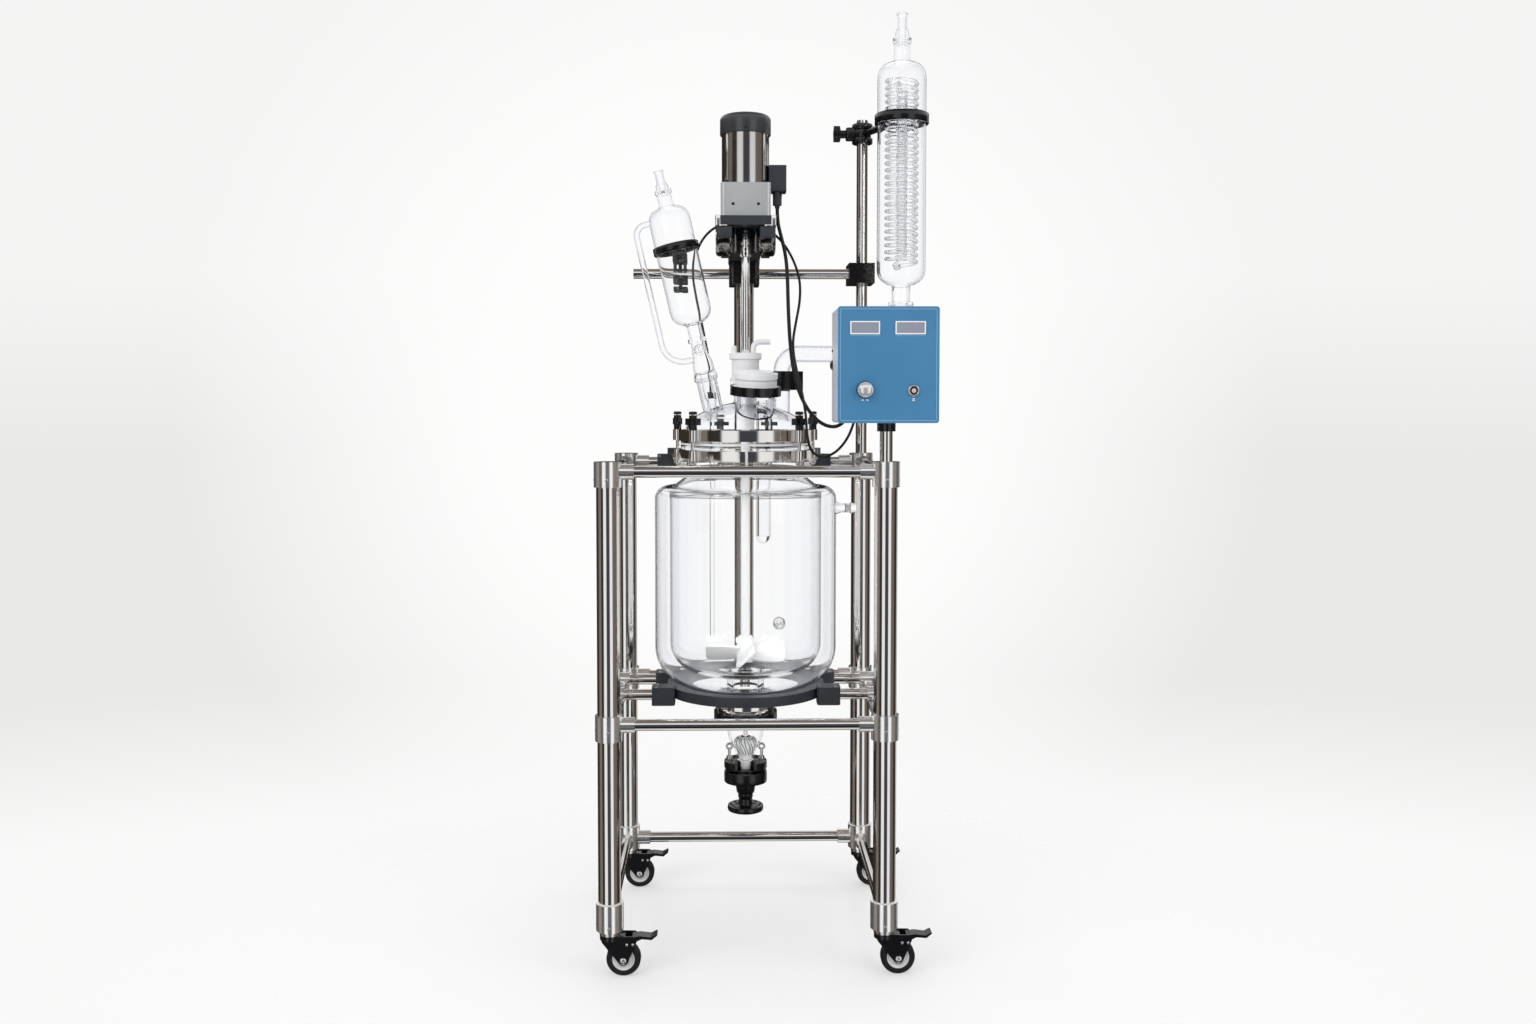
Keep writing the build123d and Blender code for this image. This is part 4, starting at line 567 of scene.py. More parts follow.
def addPipe(bm, points, radius, smooth=True, sides=4):
    # A round bar that follows points
    curve = bpy.data.curves.new("run", "CURVE")
    curve.dimensions = "3D"
    curve.bevel_depth = radius
    curve.bevel_resolution = sides
    curve.use_fill_caps = True
    curve.resolution_u = 8
    spline = curve.splines.new("NURBS" if smooth else "POLY")
    spline.points.add(len(points) - 1)
    for place, target in zip(points, spline.points):
        target.co = (*place, 1)
    if smooth:
        spline.order_u = 3
        spline.use_endpoint_u = True
    holder = bpy.data.objects.new("run", curve)
    mesh = bpy.data.meshes.new_from_object(holder)
    part = bmesh.new()
    part.from_mesh(mesh)
    bmesh.ops.remove_doubles(part, verts=part.verts, dist=1e-4)
    bmesh.ops.recalc_face_normals(part, faces=part.faces[:])
    mergeInto(bm, part)
    bpy.data.objects.remove(holder)
    bpy.data.curves.remove(curve)
    bpy.data.meshes.remove(mesh)


def finishPiece(name, shape, finish, slotName, body="stand", standsFor=(), crease=35):
    # Turns a mesh in millimetres into a piece that rides on a body
    if isinstance(shape, bmesh.types.BMesh):
        mesh = bpy.data.meshes.new(name)
        shape.to_mesh(mesh)
        shape.free()
        mesh.transform(Matrix.Scale(0.001, 4))
    else:
        mesh = shape
        mesh.name = name
    mesh.shade_smooth()
    mesh.set_sharp_from_angle(angle=math.radians(crease))
    mesh.materials.clear()
    mesh.materials.append(finishes[finish])
    piece = bpy.data.objects.new(name, mesh)
    piece.visible_shadow = "glass" not in finish.lower()
    scene.collection.objects.link(piece)
    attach(piece, body)
    if standsFor:
        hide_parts(*standsFor)
    return piece


def turnPiece(
    name, outline, finish, slotName, place=(0, 0, 0), axis=(0, 0, 1), segments=48, closed=False, **rest,
):
    # A piece that is one turned form
    bm = bmesh.new()
    addLathe(bm, outline, place, axis, segments, closed)
    return finishPiece(name, bm, finish, slotName, **rest)


# Glassware: every body, neck and pipe is a closed wall round its own bore

def addBentTube(bm, points, bends, outer, bore, sides=32):
    # A hollow pipe whose corners are rounded by the radii in bends
    corners = [Vector(point) for point in points]
    path = [corners[0]]
    for before, corner, after, bend in zip(corners, corners[1:], corners[2:], bends):
        inward, outward = (before - corner).normalized(), (after - corner).normalized()
        half = inward.angle(outward) / 2
        reach = bend / math.tan(half)
        centre = corner + (inward + outward).normalized() * (bend / math.sin(half))
        first = corner + inward * reach - centre
        last = corner + outward * reach - centre
        path += [
            centre + first.slerp(last, step / 12) * bend / first.slerp(last, step / 12).length
            for step in range(13)
        ]
    path.append(corners[-1])
    side = (path[1] - path[0]).orthogonal().normalized()
    walls = {outer: [], bore: []}
    for index, place in enumerate(path):
        along = (path[min(index + 1, len(path) - 1)] - path[max(index - 1, 0)]).normalized()
        side = (side - along * side.dot(along)).normalized()
        across = along.cross(side)
        for radius, rings in walls.items():
            turns = [2 * math.pi * step / sides for step in range(sides)]
            spots = [place + (side * math.cos(t) + across * math.sin(t)) * radius for t in turns]
            rings.append([bm.verts.new(spot) for spot in spots])
    joinRings(bm, walls[outer] + walls[bore][::-1])


# Steps round the wide glass forms
wideSteps = 144
vesselWall = {
    "outside": (
        [
            (30, 524), (54.2, 524), (55, 524.8), (55, 535.2), (54.2, 536), (39, 536), (38, 538),
            (38, 566), (40.5, 571),
        ]
        + arcPoints((117.5, 680), 95, -90, 0, 20)
        + arcPoints((182.5, 1026), 30, 0, 90, 12)
        + [
            (174, 1056.3), (164, 1060.5), (150, 1070.5), (142, 1077), (138.8, 1083), (138, 1090),
            (138, 1139), (139, 1141),
        ]
        + [(151.2, 1141), (152, 1141.8), (152, 1152.2), (151.2, 1153), (131, 1153)]
        + [
            (131, 1088), (132.4, 1080), (136.6, 1073), (145, 1064), (157, 1053), (166, 1046), (170, 1038),
            (171, 1028),
        ]
        + arcPoints((108, 690), 63, 0, -90, 16)
        + [(60, 619), (36, 613.5), (31, 610), (30, 604)]
    ),
    "jacketSpace": (
        [(44, 577)]
        + arcPoints((117.5, 680), 89, -90, 0, 20)
        + arcPoints((182.5, 1026), 24, 0, 90, 10)
        + [(180, 1049), (178.4, 1044), (178, 1036)]
        + arcPoints((108, 690), 70, 0, -90, 16)
        + [(60, 611), (44, 606)]
    ),
    "nozzles": (((0, 0, 1003), (1, 0, 0), 207.0, 260.0), ((90, 0, 700), (0, 1, 0), 188.0, 240.0)),
}


def makeVessel(setup):
    bm = bmesh.new()
    addLathe(bm, setup["outside"], segments=wideSteps, closed=True)
    addLathe(bm, setup["jacketSpace"][::-1], segments=wideSteps, closed=True)
    nozzles = bmesh.new()
    for target, (centre, axis, low, high) in zip((nozzles, bm), setup["nozzles"]):
        shape = [
            (7, low), (16.5, low), (16, low + 5), (13.4, low + 10), (11.2, low + 15), (10.5, low + 20),
            (10.5, high - 16), (12.2, high - 14), (12.6, high - 11.5), (12.2, high - 9), (10.8, high - 7),
            (11.2, high - 1), (10.4, high), (7, high),
        ]
        addLathe(target, shape, centre, axis, 48, closed=True)
    finishPiece("vesselGlass", bm, "glass", "clear_glass", standsFor=("vessel",), crease=50)
    finishPiece("jacketNozzles", nozzles, "pipeGlass", "clear_glass", crease=50)


makeVessel(vesselWall)

lidShape = {
    "crown": (1022.83, 229.17),
    "knuckle": ((96.0, 1180.0), 45.0),
    "join": 58.6,
    "wall": 6.0,
    "centreNeck": (23.0, 1302.0),
    "necks": (
        {
            "foot": (20, -84, 1223), "axis": (0.03, -0.1219, 0.9925), "outer": 42, "bore": 37, "top": 57,
            "flange": 52, "lip": 8,
        },
        {
            "foot": (87, 50, 1215), "axis": (0, 0, 1), "outer": 19.5, "bore": 16.5, "top": 87, "flange": 26,
            "lip": 8,
        },
        {
            "foot": (-80, 75, 1212), "axis": (0, 0, 1), "outer": 13, "bore": 10, "top": 50, "flange": 15.5,
            "lip": 5,
        },
        {
            "foot": (45, 95, 1212), "axis": (0, 0, 1), "outer": 22, "bore": 18.6, "top": 50, "flange": 25,
            "lip": 6,
        },
        {
            "foot": (-77.3, 30, 1240), "axis": (-0.2232, 0, 0.9748), "outer": 24, "bore": 20, "top": 72,
            "flange": 28, "lip": 6,
        },
    ),
}


def addNeck(bm, neck, crown, sides=64):
    # A tube whose foot follows the dome
    foot, axis = Vector(neck["foot"]), Vector(neck["axis"]).normalized()
    turn = turnTo(axis).to_3x3()
    base, radius = crown
    top, lip, flange = neck["top"], neck["lip"], neck["flange"]
    outer, bore = neck["outer"], neck["bore"]
    shape = [
        (outer, None), (outer, top - lip - 3), (outer + 1, top - lip - 0.8), (flange - 0.8, top - lip),
        (flange, top - lip + 0.8), (flange, top - 0.8), (flange - 0.8, top), (bore, top), (bore, None),
    ]
    rings = []
    for reach, height in shape:
        ring = []
        for step in range(sides):
            angle = 2 * math.pi * step / sides
            start = foot + turn @ Vector((reach * math.cos(angle), reach * math.sin(angle), 0))
            rise = height
            if rise is None:
                rise = 0.0
                for _ in range(8):
                    place = start + axis * rise
                    dome = base + math.sqrt(radius ** 2 - place.x ** 2 - place.y ** 2)
                    rise += (dome - 2.5 - place.z) / axis.z
            ring.append(bm.verts.new(start + axis * rise))
        rings.append(ring)
    joinRings(bm, rings)


def makeLid(setup):
    base, radius = setup["crown"]
    middle, knuckle = setup["knuckle"]
    join, wall = setup["join"], setup["wall"]
    bore, top = setup["centreNeck"]
    shape = [
        (135, 1157), (151.2, 1157), (152, 1157.8), (152, 1169.2), (151.2, 1170), (142, 1170), (141, 1172),
    ]
    shape += arcPoints(middle, knuckle, 0, join, 10) + arcPoints((0, base), radius, join + 1, 82.4, 14)
    shape += [
        (27.6, 1253), (27, 1258), (27, 1289), (28, 1290), (35.2, 1290), (36, 1290.8), (36, 1301.2),
        (35.2, 1302), (bore, top), (bore, 1250),
    ]
    shape += arcPoints((0, base), radius - wall, 83.2, join + 1, 14)
    shape += arcPoints(middle, knuckle - wall, join, 0, 10)
    turnPiece(
        "lidGlass", shape, "bodyGlass", "clear_glass", segments=wideSteps, closed=True, standsFor=("lid",),
        crease=50,
    )
    necks = bmesh.new()
    for neck in setup["necks"]:
        addNeck(necks, neck, setup["crown"])
    finishPiece("lidNecks", necks, "pipeGlass", "clear_glass", crease=50)


makeLid(lidShape)

condenserShape = {
    "axis": (377, 100),
    "wall": (
        (18, 1485), (29.2, 1485), (30, 1485.8), (30, 1492.2), (29.2, 1493), (23, 1493.6), (22, 1496),
        (22, 1529), (24, 1533.5), (34, 1536.5), (44, 1542), (51.5, 1549), (56.5, 1558), (58.5, 1569),
        (58.5, 2026), (57.6, 2037), (54.2, 2047), (47.6, 2055.5), (38, 2061.5), (28, 2065), (21.4, 2067),
        (19.5, 2071), (19.5, 2110), (21.8, 2111.4), (22.4, 2113.5), (21.8, 2116), (19.8, 2118),
        (15.5, 2118), (15.5, 2070), (17.6, 2064.4), (26, 2061.2), (36.4, 2057.6), (45, 2052),
        (51, 2044.2), (53.8, 2035.6), (54.5, 2026), (54.5, 1569), (52.8, 1560), (48.4, 1552.4),
        (41.8, 1545.6), (33, 1540.4), (23, 1537), (18, 1533),
    ),
    "nozzleHeights": (1585.0, 2025.0),
}
funnelShape = {
    "foot": (-77.3, 30.0, 1240.0),
    "axis": (-0.2232, 0, 0.9748),
    "out": (0.9748, 0, 0.2232),
    "wall": (
        (9, 21), (12.5, 21), (14, 66), (15, 71), (27.2, 72.4), (28, 73.2), (28, 78.2), (27.2, 79),
        (25.4, 80.4), (25, 84), (24.6, 100), (23, 112), (19.6, 124), (17.5, 134), (17, 148), (17, 156),
        (21.4, 157.6), (22.4, 160), (22.4, 164), (21.4, 166.4), (17, 168), (16.6, 194), (18.4, 199),
        (27, 203), (37, 208.6), (44, 216.6), (48, 226.6), (49, 238), (49, 446), (48.2, 456), (45, 465.4),
        (38, 473.6), (28, 479.4), (19.5, 482.6), (17.4, 486), (17, 492), (17, 511), (19.4, 513),
        (20, 515.4), (19.4, 518), (14, 518), (14, 487), (16.4, 481), (25.4, 476.6), (35.6, 471.2),
        (42.2, 464), (45.2, 455.4), (46, 446), (46, 238), (45, 228), (41.2, 219), (34.8, 211.8),
        (25.6, 206), (15, 202.4), (13.4, 197), (13.4, 150), (14, 134), (16, 124), (19.4, 112), (21, 100),
        (21.4, 88), (20, 83), (11.4, 78), (10.6, 66),
    ),
    "equaliser": ((-47.5, 452), (-84, 452), (-84, 119), (-21, 119)),
    "bends": (26, 50),
}
adapterStep = (
    (0.70, -14), (1.15, -13), (1.18, 0), (1.9, 0.2), (1.98, 1.2), (1.98, 4), (1.9, 5), (1.56, 6),
    (1.5, 8), (1.46, 18), (1.34, 22), (1.08, 26), (1.0, 30), (1.0, 59), (1.13, 60), (1.18, 61),
    (1.18, 62.4), (1.12, 63), (0.70, 63),
)


def onFunnel(setup, beside, along):
    return Vector(setup["foot"]) + Vector(setup["out"]) * beside + Vector(setup["axis"]) * along


def makeUpperGlass(condenser, funnel):
    x, y = condenser["axis"]
    turnPiece(
        "condenserGlass", condenser["wall"], "bodyGlass", "clear_glass", (x, y, 0), segments=96,
        closed=True, standsFor=("condenser_body",), crease=50,
    )
    turnPiece(
        "funnelGlass", funnel["wall"], "bodyGlass", "clear_glass", funnel["foot"], funnel["axis"], 96,
        closed=True, standsFor=("funnel_body",), crease=50,
    )
    pipe = bmesh.new()
    addBentTube(pipe, [onFunnel(funnel, u, s) for u, s in funnel["equaliser"]], funnel["bends"], 7.2, 5.0)
    addLathe(
        pipe, [(8.4, -9), (12.2, -9), (13, -8), (13, 25), (12.2, 26), (8.4, 26)], onFunnel(funnel, 0, 139),
        (0, 1, 0), 48, closed=True,
    )
    finishPiece("funnelPipe", pipe, "pipeGlass", "clear_glass", crease=50)
    fittings = bmesh.new()
    addLathe(fittings, [(r * 11.5, 2118 + h) for r, h in adapterStep], (x, y, 0), segments=64, closed=True)
    lower = [(r * 10.1, 518 + h * 0.778) for r, h in adapterStep]
    addLathe(fittings, lower, funnel["foot"], funnel["axis"], 64, closed=True)
    for z in condenser["nozzleHeights"]:
        barbs = [
            (3.5, 41), (6, 41), (6, 59), (8.3, 60), (8.5, 61.5), (8.3, 63), (6, 64), (6, 76), (7.2, 78),
            (6.1, 81), (7.2, 83), (6.1, 86), (7.0, 88), (6, 90.5), (3.5, 90.5),
        ]
        addLathe(fittings, barbs, (x, y, z), (0, 1, 0), 32, closed=True)
    finishPiece("topAdapters", fittings, "pipeGlass", "clear_glass", standsFor=("top_adapters",), crease=50)
    vapour = bmesh.new()
    run = ((87, 50, 1302.6), (87, 50, 1367), (x, y, 1367), (x, y, 1484.4))
    addBentTube(vapour, run, (42, 42), 19.5, 16.5, 48)
    addLathe(
        vapour,
        [(19, 1302.6), (25.2, 1302.6), (26, 1303.4), (26, 1309.2), (25.2, 1310), (21, 1311), (19, 1313)],
        (87, 50, 0), segments=64, closed=True,
    )
    addLathe(
        vapour,
        [(19, 1470), (21, 1472.6), (29.2, 1473), (30, 1473.8), (30, 1483.6), (29.2, 1484.4), (19, 1484.4)],
        (x, y, 0), segments=64, closed=True,
    )
    finishPiece("vapourPipe", vapour, "pipeGlass", "clear_glass", standsFor=("vapour_elbow",), crease=50)


makeUpperGlass(condenserShape, funnelShape)
print("glassware made")


# Ring holders: two rings, the rods that carry them and the clamps on the rods
holderShape = {
    "condenserRing": (59.0, 65.0, 1918.0, 1942.0),
    "condenserRod": ((361, 135, 1930), (300, 270, 1930), 9.0),
    "condenserCollar": (300.0, 270.0, 26.0, 1905.0, 1955.0),
    "funnelRing": (49.4, 54.5, 373.0, 391.0),
    "funnelRod": ((-162.6, 52, 1612.4), (-162.6, 206, 1612.4), 7.0),
    "posts": ((-178.0, -169.0), (-151.0, -142.0)),
    "postSpan": (1578.0, 1650.0),
}


def addRing(bm, ring, centre, axis):
    bore, outer, low, high = ring
    shape = [
        (bore, low + 1), (bore + 1, low), (outer - 1.4, low), (outer, low + 1.4), (outer, high - 1.4),
        (outer - 1.4, high),
    ]
    addLathe(bm, shape + [(bore + 1, high), (bore, high - 1)], centre, axis, 96, closed=True)


def makeHolders(setup, condenserX, condenserY, funnel):
    bm = bmesh.new()
    addRing(bm, setup["condenserRing"], (condenserX, condenserY, 0), (0, 0, 1))
    start, end, radius = setup["condenserRod"]
    addPipe(bm, [start, end], radius, smooth=False, sides=10)
    x, y, reach, low, high = setup["condenserCollar"]
    addDisc(bm, reach, low, low + 15, (x, y, 0), edge=2.5)
    addDisc(bm, reach - 4, low + 12, high - 12, (x, y, 0), edge=1.5)
    addDisc(bm, reach, high - 15, high, (x, y, 0), edge=2.5)
    addBlock(bm, (258, 258, 1914), (298, 282, 1946), 4, 3)
    addRing(bm, setup["funnelRing"], funnel["foot"], funnel["axis"])
    start, end, radius = setup["funnelRod"]
    addPipe(bm, [start, end], radius, smooth=False, sides=10)
    bottom, top = setup["postSpan"]
    for low, high in setup["posts"]:
        addBlock(bm, (low, 208, bottom), (high, 222, top), 1.6, 2)
    addBlock(bm, (-180, 207, 1598), (-140, 252, 1626), 4, 3)
    for low, high in ((1546, 1562), (1526, 1540)):
        for left in (-180, -158):
            addBlock(bm, (left, 207, low), (left + 18, 240, high), 3, 3)
    addDisc(bm, 5.0, 1527, 1600, (-160, 230, 0), edge=1.0)
    finishPiece("ringHolders", bm, "black", "black", standsFor=("ring_holders",), crease=45)


makeHolders(holderShape, *condenserShape["axis"], funnelShape)
print("holders made")


# Geometry Nodes: wound tubes and screws

def startTree(name, inputs):
    tree = bpy.data.node_groups.new(name, "GeometryNodeTree")
    tree.interface.new_socket(name="Geometry", in_out="OUTPUT", socket_type="NodeSocketGeometry")
    tree.interface.new_socket(name="Geometry", in_out="INPUT", socket_type="NodeSocketGeometry")
    for label, kind, value in inputs:
        socket = tree.interface.new_socket(name=label, in_out="INPUT", socket_type=kind)
        if value is not None:
            socket.default_value = value
    return tree, tree.nodes.new("NodeGroupInput"), tree.nodes.new("NodeGroupOutput")


def endTree(tree, entry, leave, geometry):
    # Every tree ends with realised instances and its finish
    link = tree.links.new
    realise = addNode(tree, "GeometryNodeRealizeInstances")
    finish = addNode(tree, "GeometryNodeSetMaterial")
    link(geometry, realise.inputs[0])
    link(realise.outputs[0], finish.inputs["Geometry"])
    link(entry.outputs["Finish"], finish.inputs["Material"])
    link(finish.outputs[0], leave.inputs[0])
    return tree


def buildWindingTree():
    inputs = (
        ("Turns", "NodeSocketFloat", 10.0),
        ("Radius", "NodeSocketFloat", 0.03),
        ("Height", "NodeSocketFloat", 0.4),
        ("Tube Radius", "NodeSocketFloat", 0.004),
        ("Steps", "NodeSocketInt", 24),
        ("Base", "NodeSocketVector", (0, 0, 0)),
        ("Turn", "NodeSocketVector", (0, 0, 0)),
        ("Finish", "NodeSocketMaterial", None),
    )
    tree, entry, leave = startTree("windingTree", inputs)
    link = tree.links.new
    spiral = addNode(tree, "GeometryNodeCurveSpiral")
    for source, target in (
        ("Turns", "Rotations"), ("Radius", "Start Radius"), ("Radius", "End Radius"), ("Height", "Height"),
        ("Steps", "Resolution"),
    ):
        link(entry.outputs[source], spiral.inputs[target])
    place = addNode(tree, "GeometryNodeTransform")
    link(spiral.outputs[0], place.inputs["Geometry"])
    link(entry.outputs["Base"], place.inputs["Translation"])
    link(entry.outputs["Turn"], place.inputs["Rotation"])
    ring = addNode(tree, "GeometryNodeCurvePrimitiveCircle", None, {"Resolution": 8})
    link(entry.outputs["Tube Radius"], ring.inputs["Radius"])
    tube = addNode(tree, "GeometryNodeCurveToMesh", None, {"Fill Caps": True})
    link(place.outputs[0], tube.inputs["Curve"])
    link(ring.outputs[0], tube.inputs["Profile Curve"])
    return endTree(tree, entry, leave, tube.outputs[0])


def buildScrewTree():
    # A chamfered head with a six-sided socket on every point, turned to the point's aim
    inputs = (
        ("Head Radius", "NodeSocketFloat", 0.004),
        ("Head Height", "NodeSocketFloat", 0.003),
        ("Socket Radius", "NodeSocketFloat", 0.002),
        ("Sides", "NodeSocketInt", 20),
        ("Finish", "NodeSocketMaterial", None),
    )
    tree, entry, leave = startTree("screwTree", inputs)
    link = tree.links.new
    head = addNode(tree, "GeometryNodeMeshCylinder", None, {"Side Segments": 3})
    link(entry.outputs["Sides"], head.inputs["Vertices"])
    link(entry.outputs["Head Radius"], head.inputs["Radius"])
    link(entry.outputs["Head Height"], head.inputs["Depth"])
    position = addNode(tree, "GeometryNodeInputPosition")
    split = addNode(tree, "ShaderNodeSeparateXYZ")
    link(position.outputs[0], split.inputs[0])
    limit = addMath(tree, "MULTIPLY", entry.outputs["Head Height"], 0.4)
    atTop = addMath(tree, "GREATER_THAN", split.outputs[2], limit)
    narrower = addNode(tree, "ShaderNodeVectorMath", {"operation": "MULTIPLY"}, {1: (0.78, 0.78, 1.0)})
    link(position.outputs[0], narrower.inputs[0])
    chamfer = addNode(tree, "GeometryNodeSetPosition")
    link(head.outputs["Mesh"], chamfer.inputs["Geometry"])
    link(atTop, chamfer.inputs["Selection"])
    link(narrower.outputs[0], chamfer.inputs["Position"])
    socket = addNode(tree, "GeometryNodeMeshCylinder", None, {"Vertices": 6})
    link(entry.outputs["Socket Radius"], socket.inputs["Radius"])
    link(entry.outputs["Head Height"], socket.inputs["Depth"])
    lift = addNode(tree, "GeometryNodeTransform")
    up = addNode(tree, "ShaderNodeCombineXYZ")
    link(addMath(tree, "MULTIPLY", entry.outputs["Head Height"], 0.5), up.inputs[2])
    link(up.outputs[0], lift.inputs["Translation"])
    link(socket.outputs["Mesh"], lift.inputs["Geometry"])
    cut = addNode(tree, "GeometryNodeMeshBoolean", {"operation": "DIFFERENCE"})
    link(chamfer.outputs[0], cut.inputs[0])
    link(lift.outputs[0], cut.inputs[1])
    aim = addNode(tree, "GeometryNodeInputNamedAttribute", {"data_type": "FLOAT_VECTOR"}, {0: "aim"})
    facing = addNode(tree, "FunctionNodeAlignRotationToVector")
    link(aim.outputs[0], facing.inputs["Vector"])
    spread = addNode(tree, "GeometryNodeInstanceOnPoints")
    link(entry.outputs["Geometry"], spread.inputs["Points"])
    link(cut.outputs[0], spread.inputs["Instance"])
    link(facing.outputs[0], spread.inputs["Rotation"])
    return endTree(tree, entry, leave, spread.outputs[0])


windingTree = buildWindingTree()
screwTree = buildScrewTree()


def runTree(name, tree, values, seed=None):
    # Evaluates a tree once and keeps only its plain mesh
    holder = bpy.data.objects.new(name, seed or bpy.data.meshes.new(name + "Seed"))
    scene.collection.objects.link(holder)
    modifier = holder.modifiers.new("build", "NODES")
    modifier.node_group = tree
    for item in tree.interface.items_tree:
        if item.item_type == "SOCKET" and item.in_out == "INPUT" and item.name in values:
            modifier[item.identifier] = values[item.name]
    evaluated = holder.evaluated_get(bpy.context.evaluated_depsgraph_get())
    mesh = bpy.data.meshes.new_from_object(evaluated)
    holder.modifiers.clear()
    bpy.data.objects.remove(holder)
    closed = bmesh.new()
    closed.from_mesh(mesh)
    bmesh.ops.remove_doubles(closed, verts=closed.verts, dist=1e-7)
    if closed.calc_volume(signed=True) < 0:
        bmesh.ops.reverse_faces(closed, faces=closed.faces[:])
    closed.to_mesh(mesh)
    closed.free()
    return mesh


def makeScrews(name, places, head, finish="zinc", slotName="stainless", body="stand"):
    # places holds (point, direction) pairs in millimetres
    seed = bpy.data.meshes.new(name + "Seed")
    seed.from_pydata([tuple(c / 1000 for c in point) for point, _ in places], [], [])
    aims = seed.attributes.new("aim", "FLOAT_VECTOR", "POINT")
    for item, (_, direction) in zip(aims.data, places):
        item.vector = direction
    values = {
        "Head Radius": head["radius"] / 1000,
        "Head Height": head["height"] / 1000,
        "Socket Radius": head["socket"] / 1000,
        "Sides": head.get("sides", 20),
        "Finish": finishes[finish],
    }
    return finishPiece(name, runTree(name, screwTree, values, seed), finish, slotName, body)


# Condenser: the outer coil that the cooling water runs through, and the slim inner one
winding = {
    "axis": (377.0, 100.0),
    "base": 1585.0,
    "height": 440.0,
    "outer": {"turns": 27.0, "radius": 36.4, "tube": 4.6, "steps": 28},
    "inner": {"turns": 48.0, "radius": 11.5, "tube": 2.9, "steps": 18},
}


def makeWinding(name, setup, coil, base, height, standsFor=()):
    values = {
        "Turns": coil["turns"],
        "Radius": coil["radius"] / 1000,
        "Height": height / 1000,
        "Tube Radius": coil["tube"] / 1000,
        "Steps": coil["steps"],
        "Base": tuple(c / 1000 for c in (*setup["axis"], base)),
        "Turn": (0.0, 0.0, math.pi / 2),
        "Finish": finishes["coilGlass"],
    }
    mesh = runTree(name, windingTree, values)
    return finishPiece(name, mesh, "coilGlass", "clear_glass", standsFor=standsFor, crease=70)


def makeCoils(setup):
    makeWinding(
        "outerCoil", setup, setup["outer"], setup["base"], setup["height"], standsFor=("condenser_coil",),
    )
    makeWinding("innerCoil", setup, setup["inner"], setup["base"] + 12, setup["height"] - 36)
    x, y = setup["axis"]
    low, high = setup["base"], setup["base"] + setup["height"]
    inner, outer = setup["inner"]["radius"], setup["outer"]["radius"]
    ends = bmesh.new()
    foot, crown = low + 12, high - 24
    addPipe(
        ends,
        (
            (x, y + inner, foot), (x - 8, y + inner, foot - 6), (x - 18, y + 20, foot - 14),
            (x - 10, y + 32, foot - 15), (x, y + outer, low),
        ),
        2.9,
    )
    addPipe(
        ends,
        (
            (x, y + inner, crown), (x - 8, y + inner, crown + 7), (x - 20, y + 8, crown + 20),
            (x - 18, y + 26, crown + 30), (x, y + outer, high),
        ),
        2.9,
    )
    finishPiece("coilEnds", ends, "coilGlass", "clear_glass")


makeCoils(winding)
print("coils wound")


# Casters: grey rims, axle bolts and rivets
caster = {
    "corners": {
        "front_left": (-300, -250), "front_right": (300, -250), "rear_left": (-300, 270),
        "rear_right": (300, 270),
    },
    "trail": 30.0,
    "wheelRadius": 37.5,
    "halfWidth": 12.0,
    "cheekOuter": 18.5,
}


def makeCasters(setup):
    half, cheek = setup["halfWidth"], setup["cheekOuter"]
    for corner, (x, y) in setup["corners"].items():
        axle = (x + setup["trail"], y, setup["wheelRadius"])
        rim = bmesh.new()
        bolt = bmesh.new()
        for side in (-1, 1):
            dish = [
                (12.4, half - 2.9), (24.7, half - 2.9), (24.7, half - 0.6), (23.6, half + 0.5),
                (22.0, half + 0.3), (20.6, half - 1.2), (17.0, half - 1.9), (13.6, half - 1.2),
                (12.4, half - 0.6),
            ]
            addLathe(rim, dish, axle, (0, side, 0), 64, closed=True)
            cap = [
                (0, cheek + 1.0), (7.6, cheek + 1.0), (7.6, cheek + 3.4), (6.4, cheek + 4.6),
                (3.2, cheek + 5.0), (2.6, cheek + 4.4), (0, cheek + 4.4),
            ]
            addLathe(bolt, cap, axle, (0, side, 0), 32)
            for along in (8.0, 21.0):
                dome = [
                    (0, cheek - 0.5), (3.4, cheek - 0.5), (3.4, cheek + 0.6), (2.4, cheek + 1.5),
                    (0, cheek + 1.9),
                ]
                addLathe(bolt, dome, (axle[0] + along, y, 73.0), (0, side, 0), 24)
        finishPiece("rim_" + corner, rim, "rimGrey", "zinc", "wheel_" + corner, crease=50)
        finishPiece("bolts_" + corner, bolt, "zinc", "zinc", "fork_" + corner, crease=50)


makeCasters(caster)
print("casters detailed")


# Motor: rounded cap, smooth body with tie-rod flutes, alloy gearbox and bracket castings
motor = {
    "gearTop": 1753.0,
    "bodyRadius": 55.0,
    "bodyTop": 1869.0,
    "fluteAngles": (-39, -141, 39, 141),
    "fluteWidth": 9.0,
    "fluteDepth": 4.0,
    "rodRadius": 2.6,
    "steps": 240,
    "capRadius": 59.0,
    "capHeight": 45.0,
}


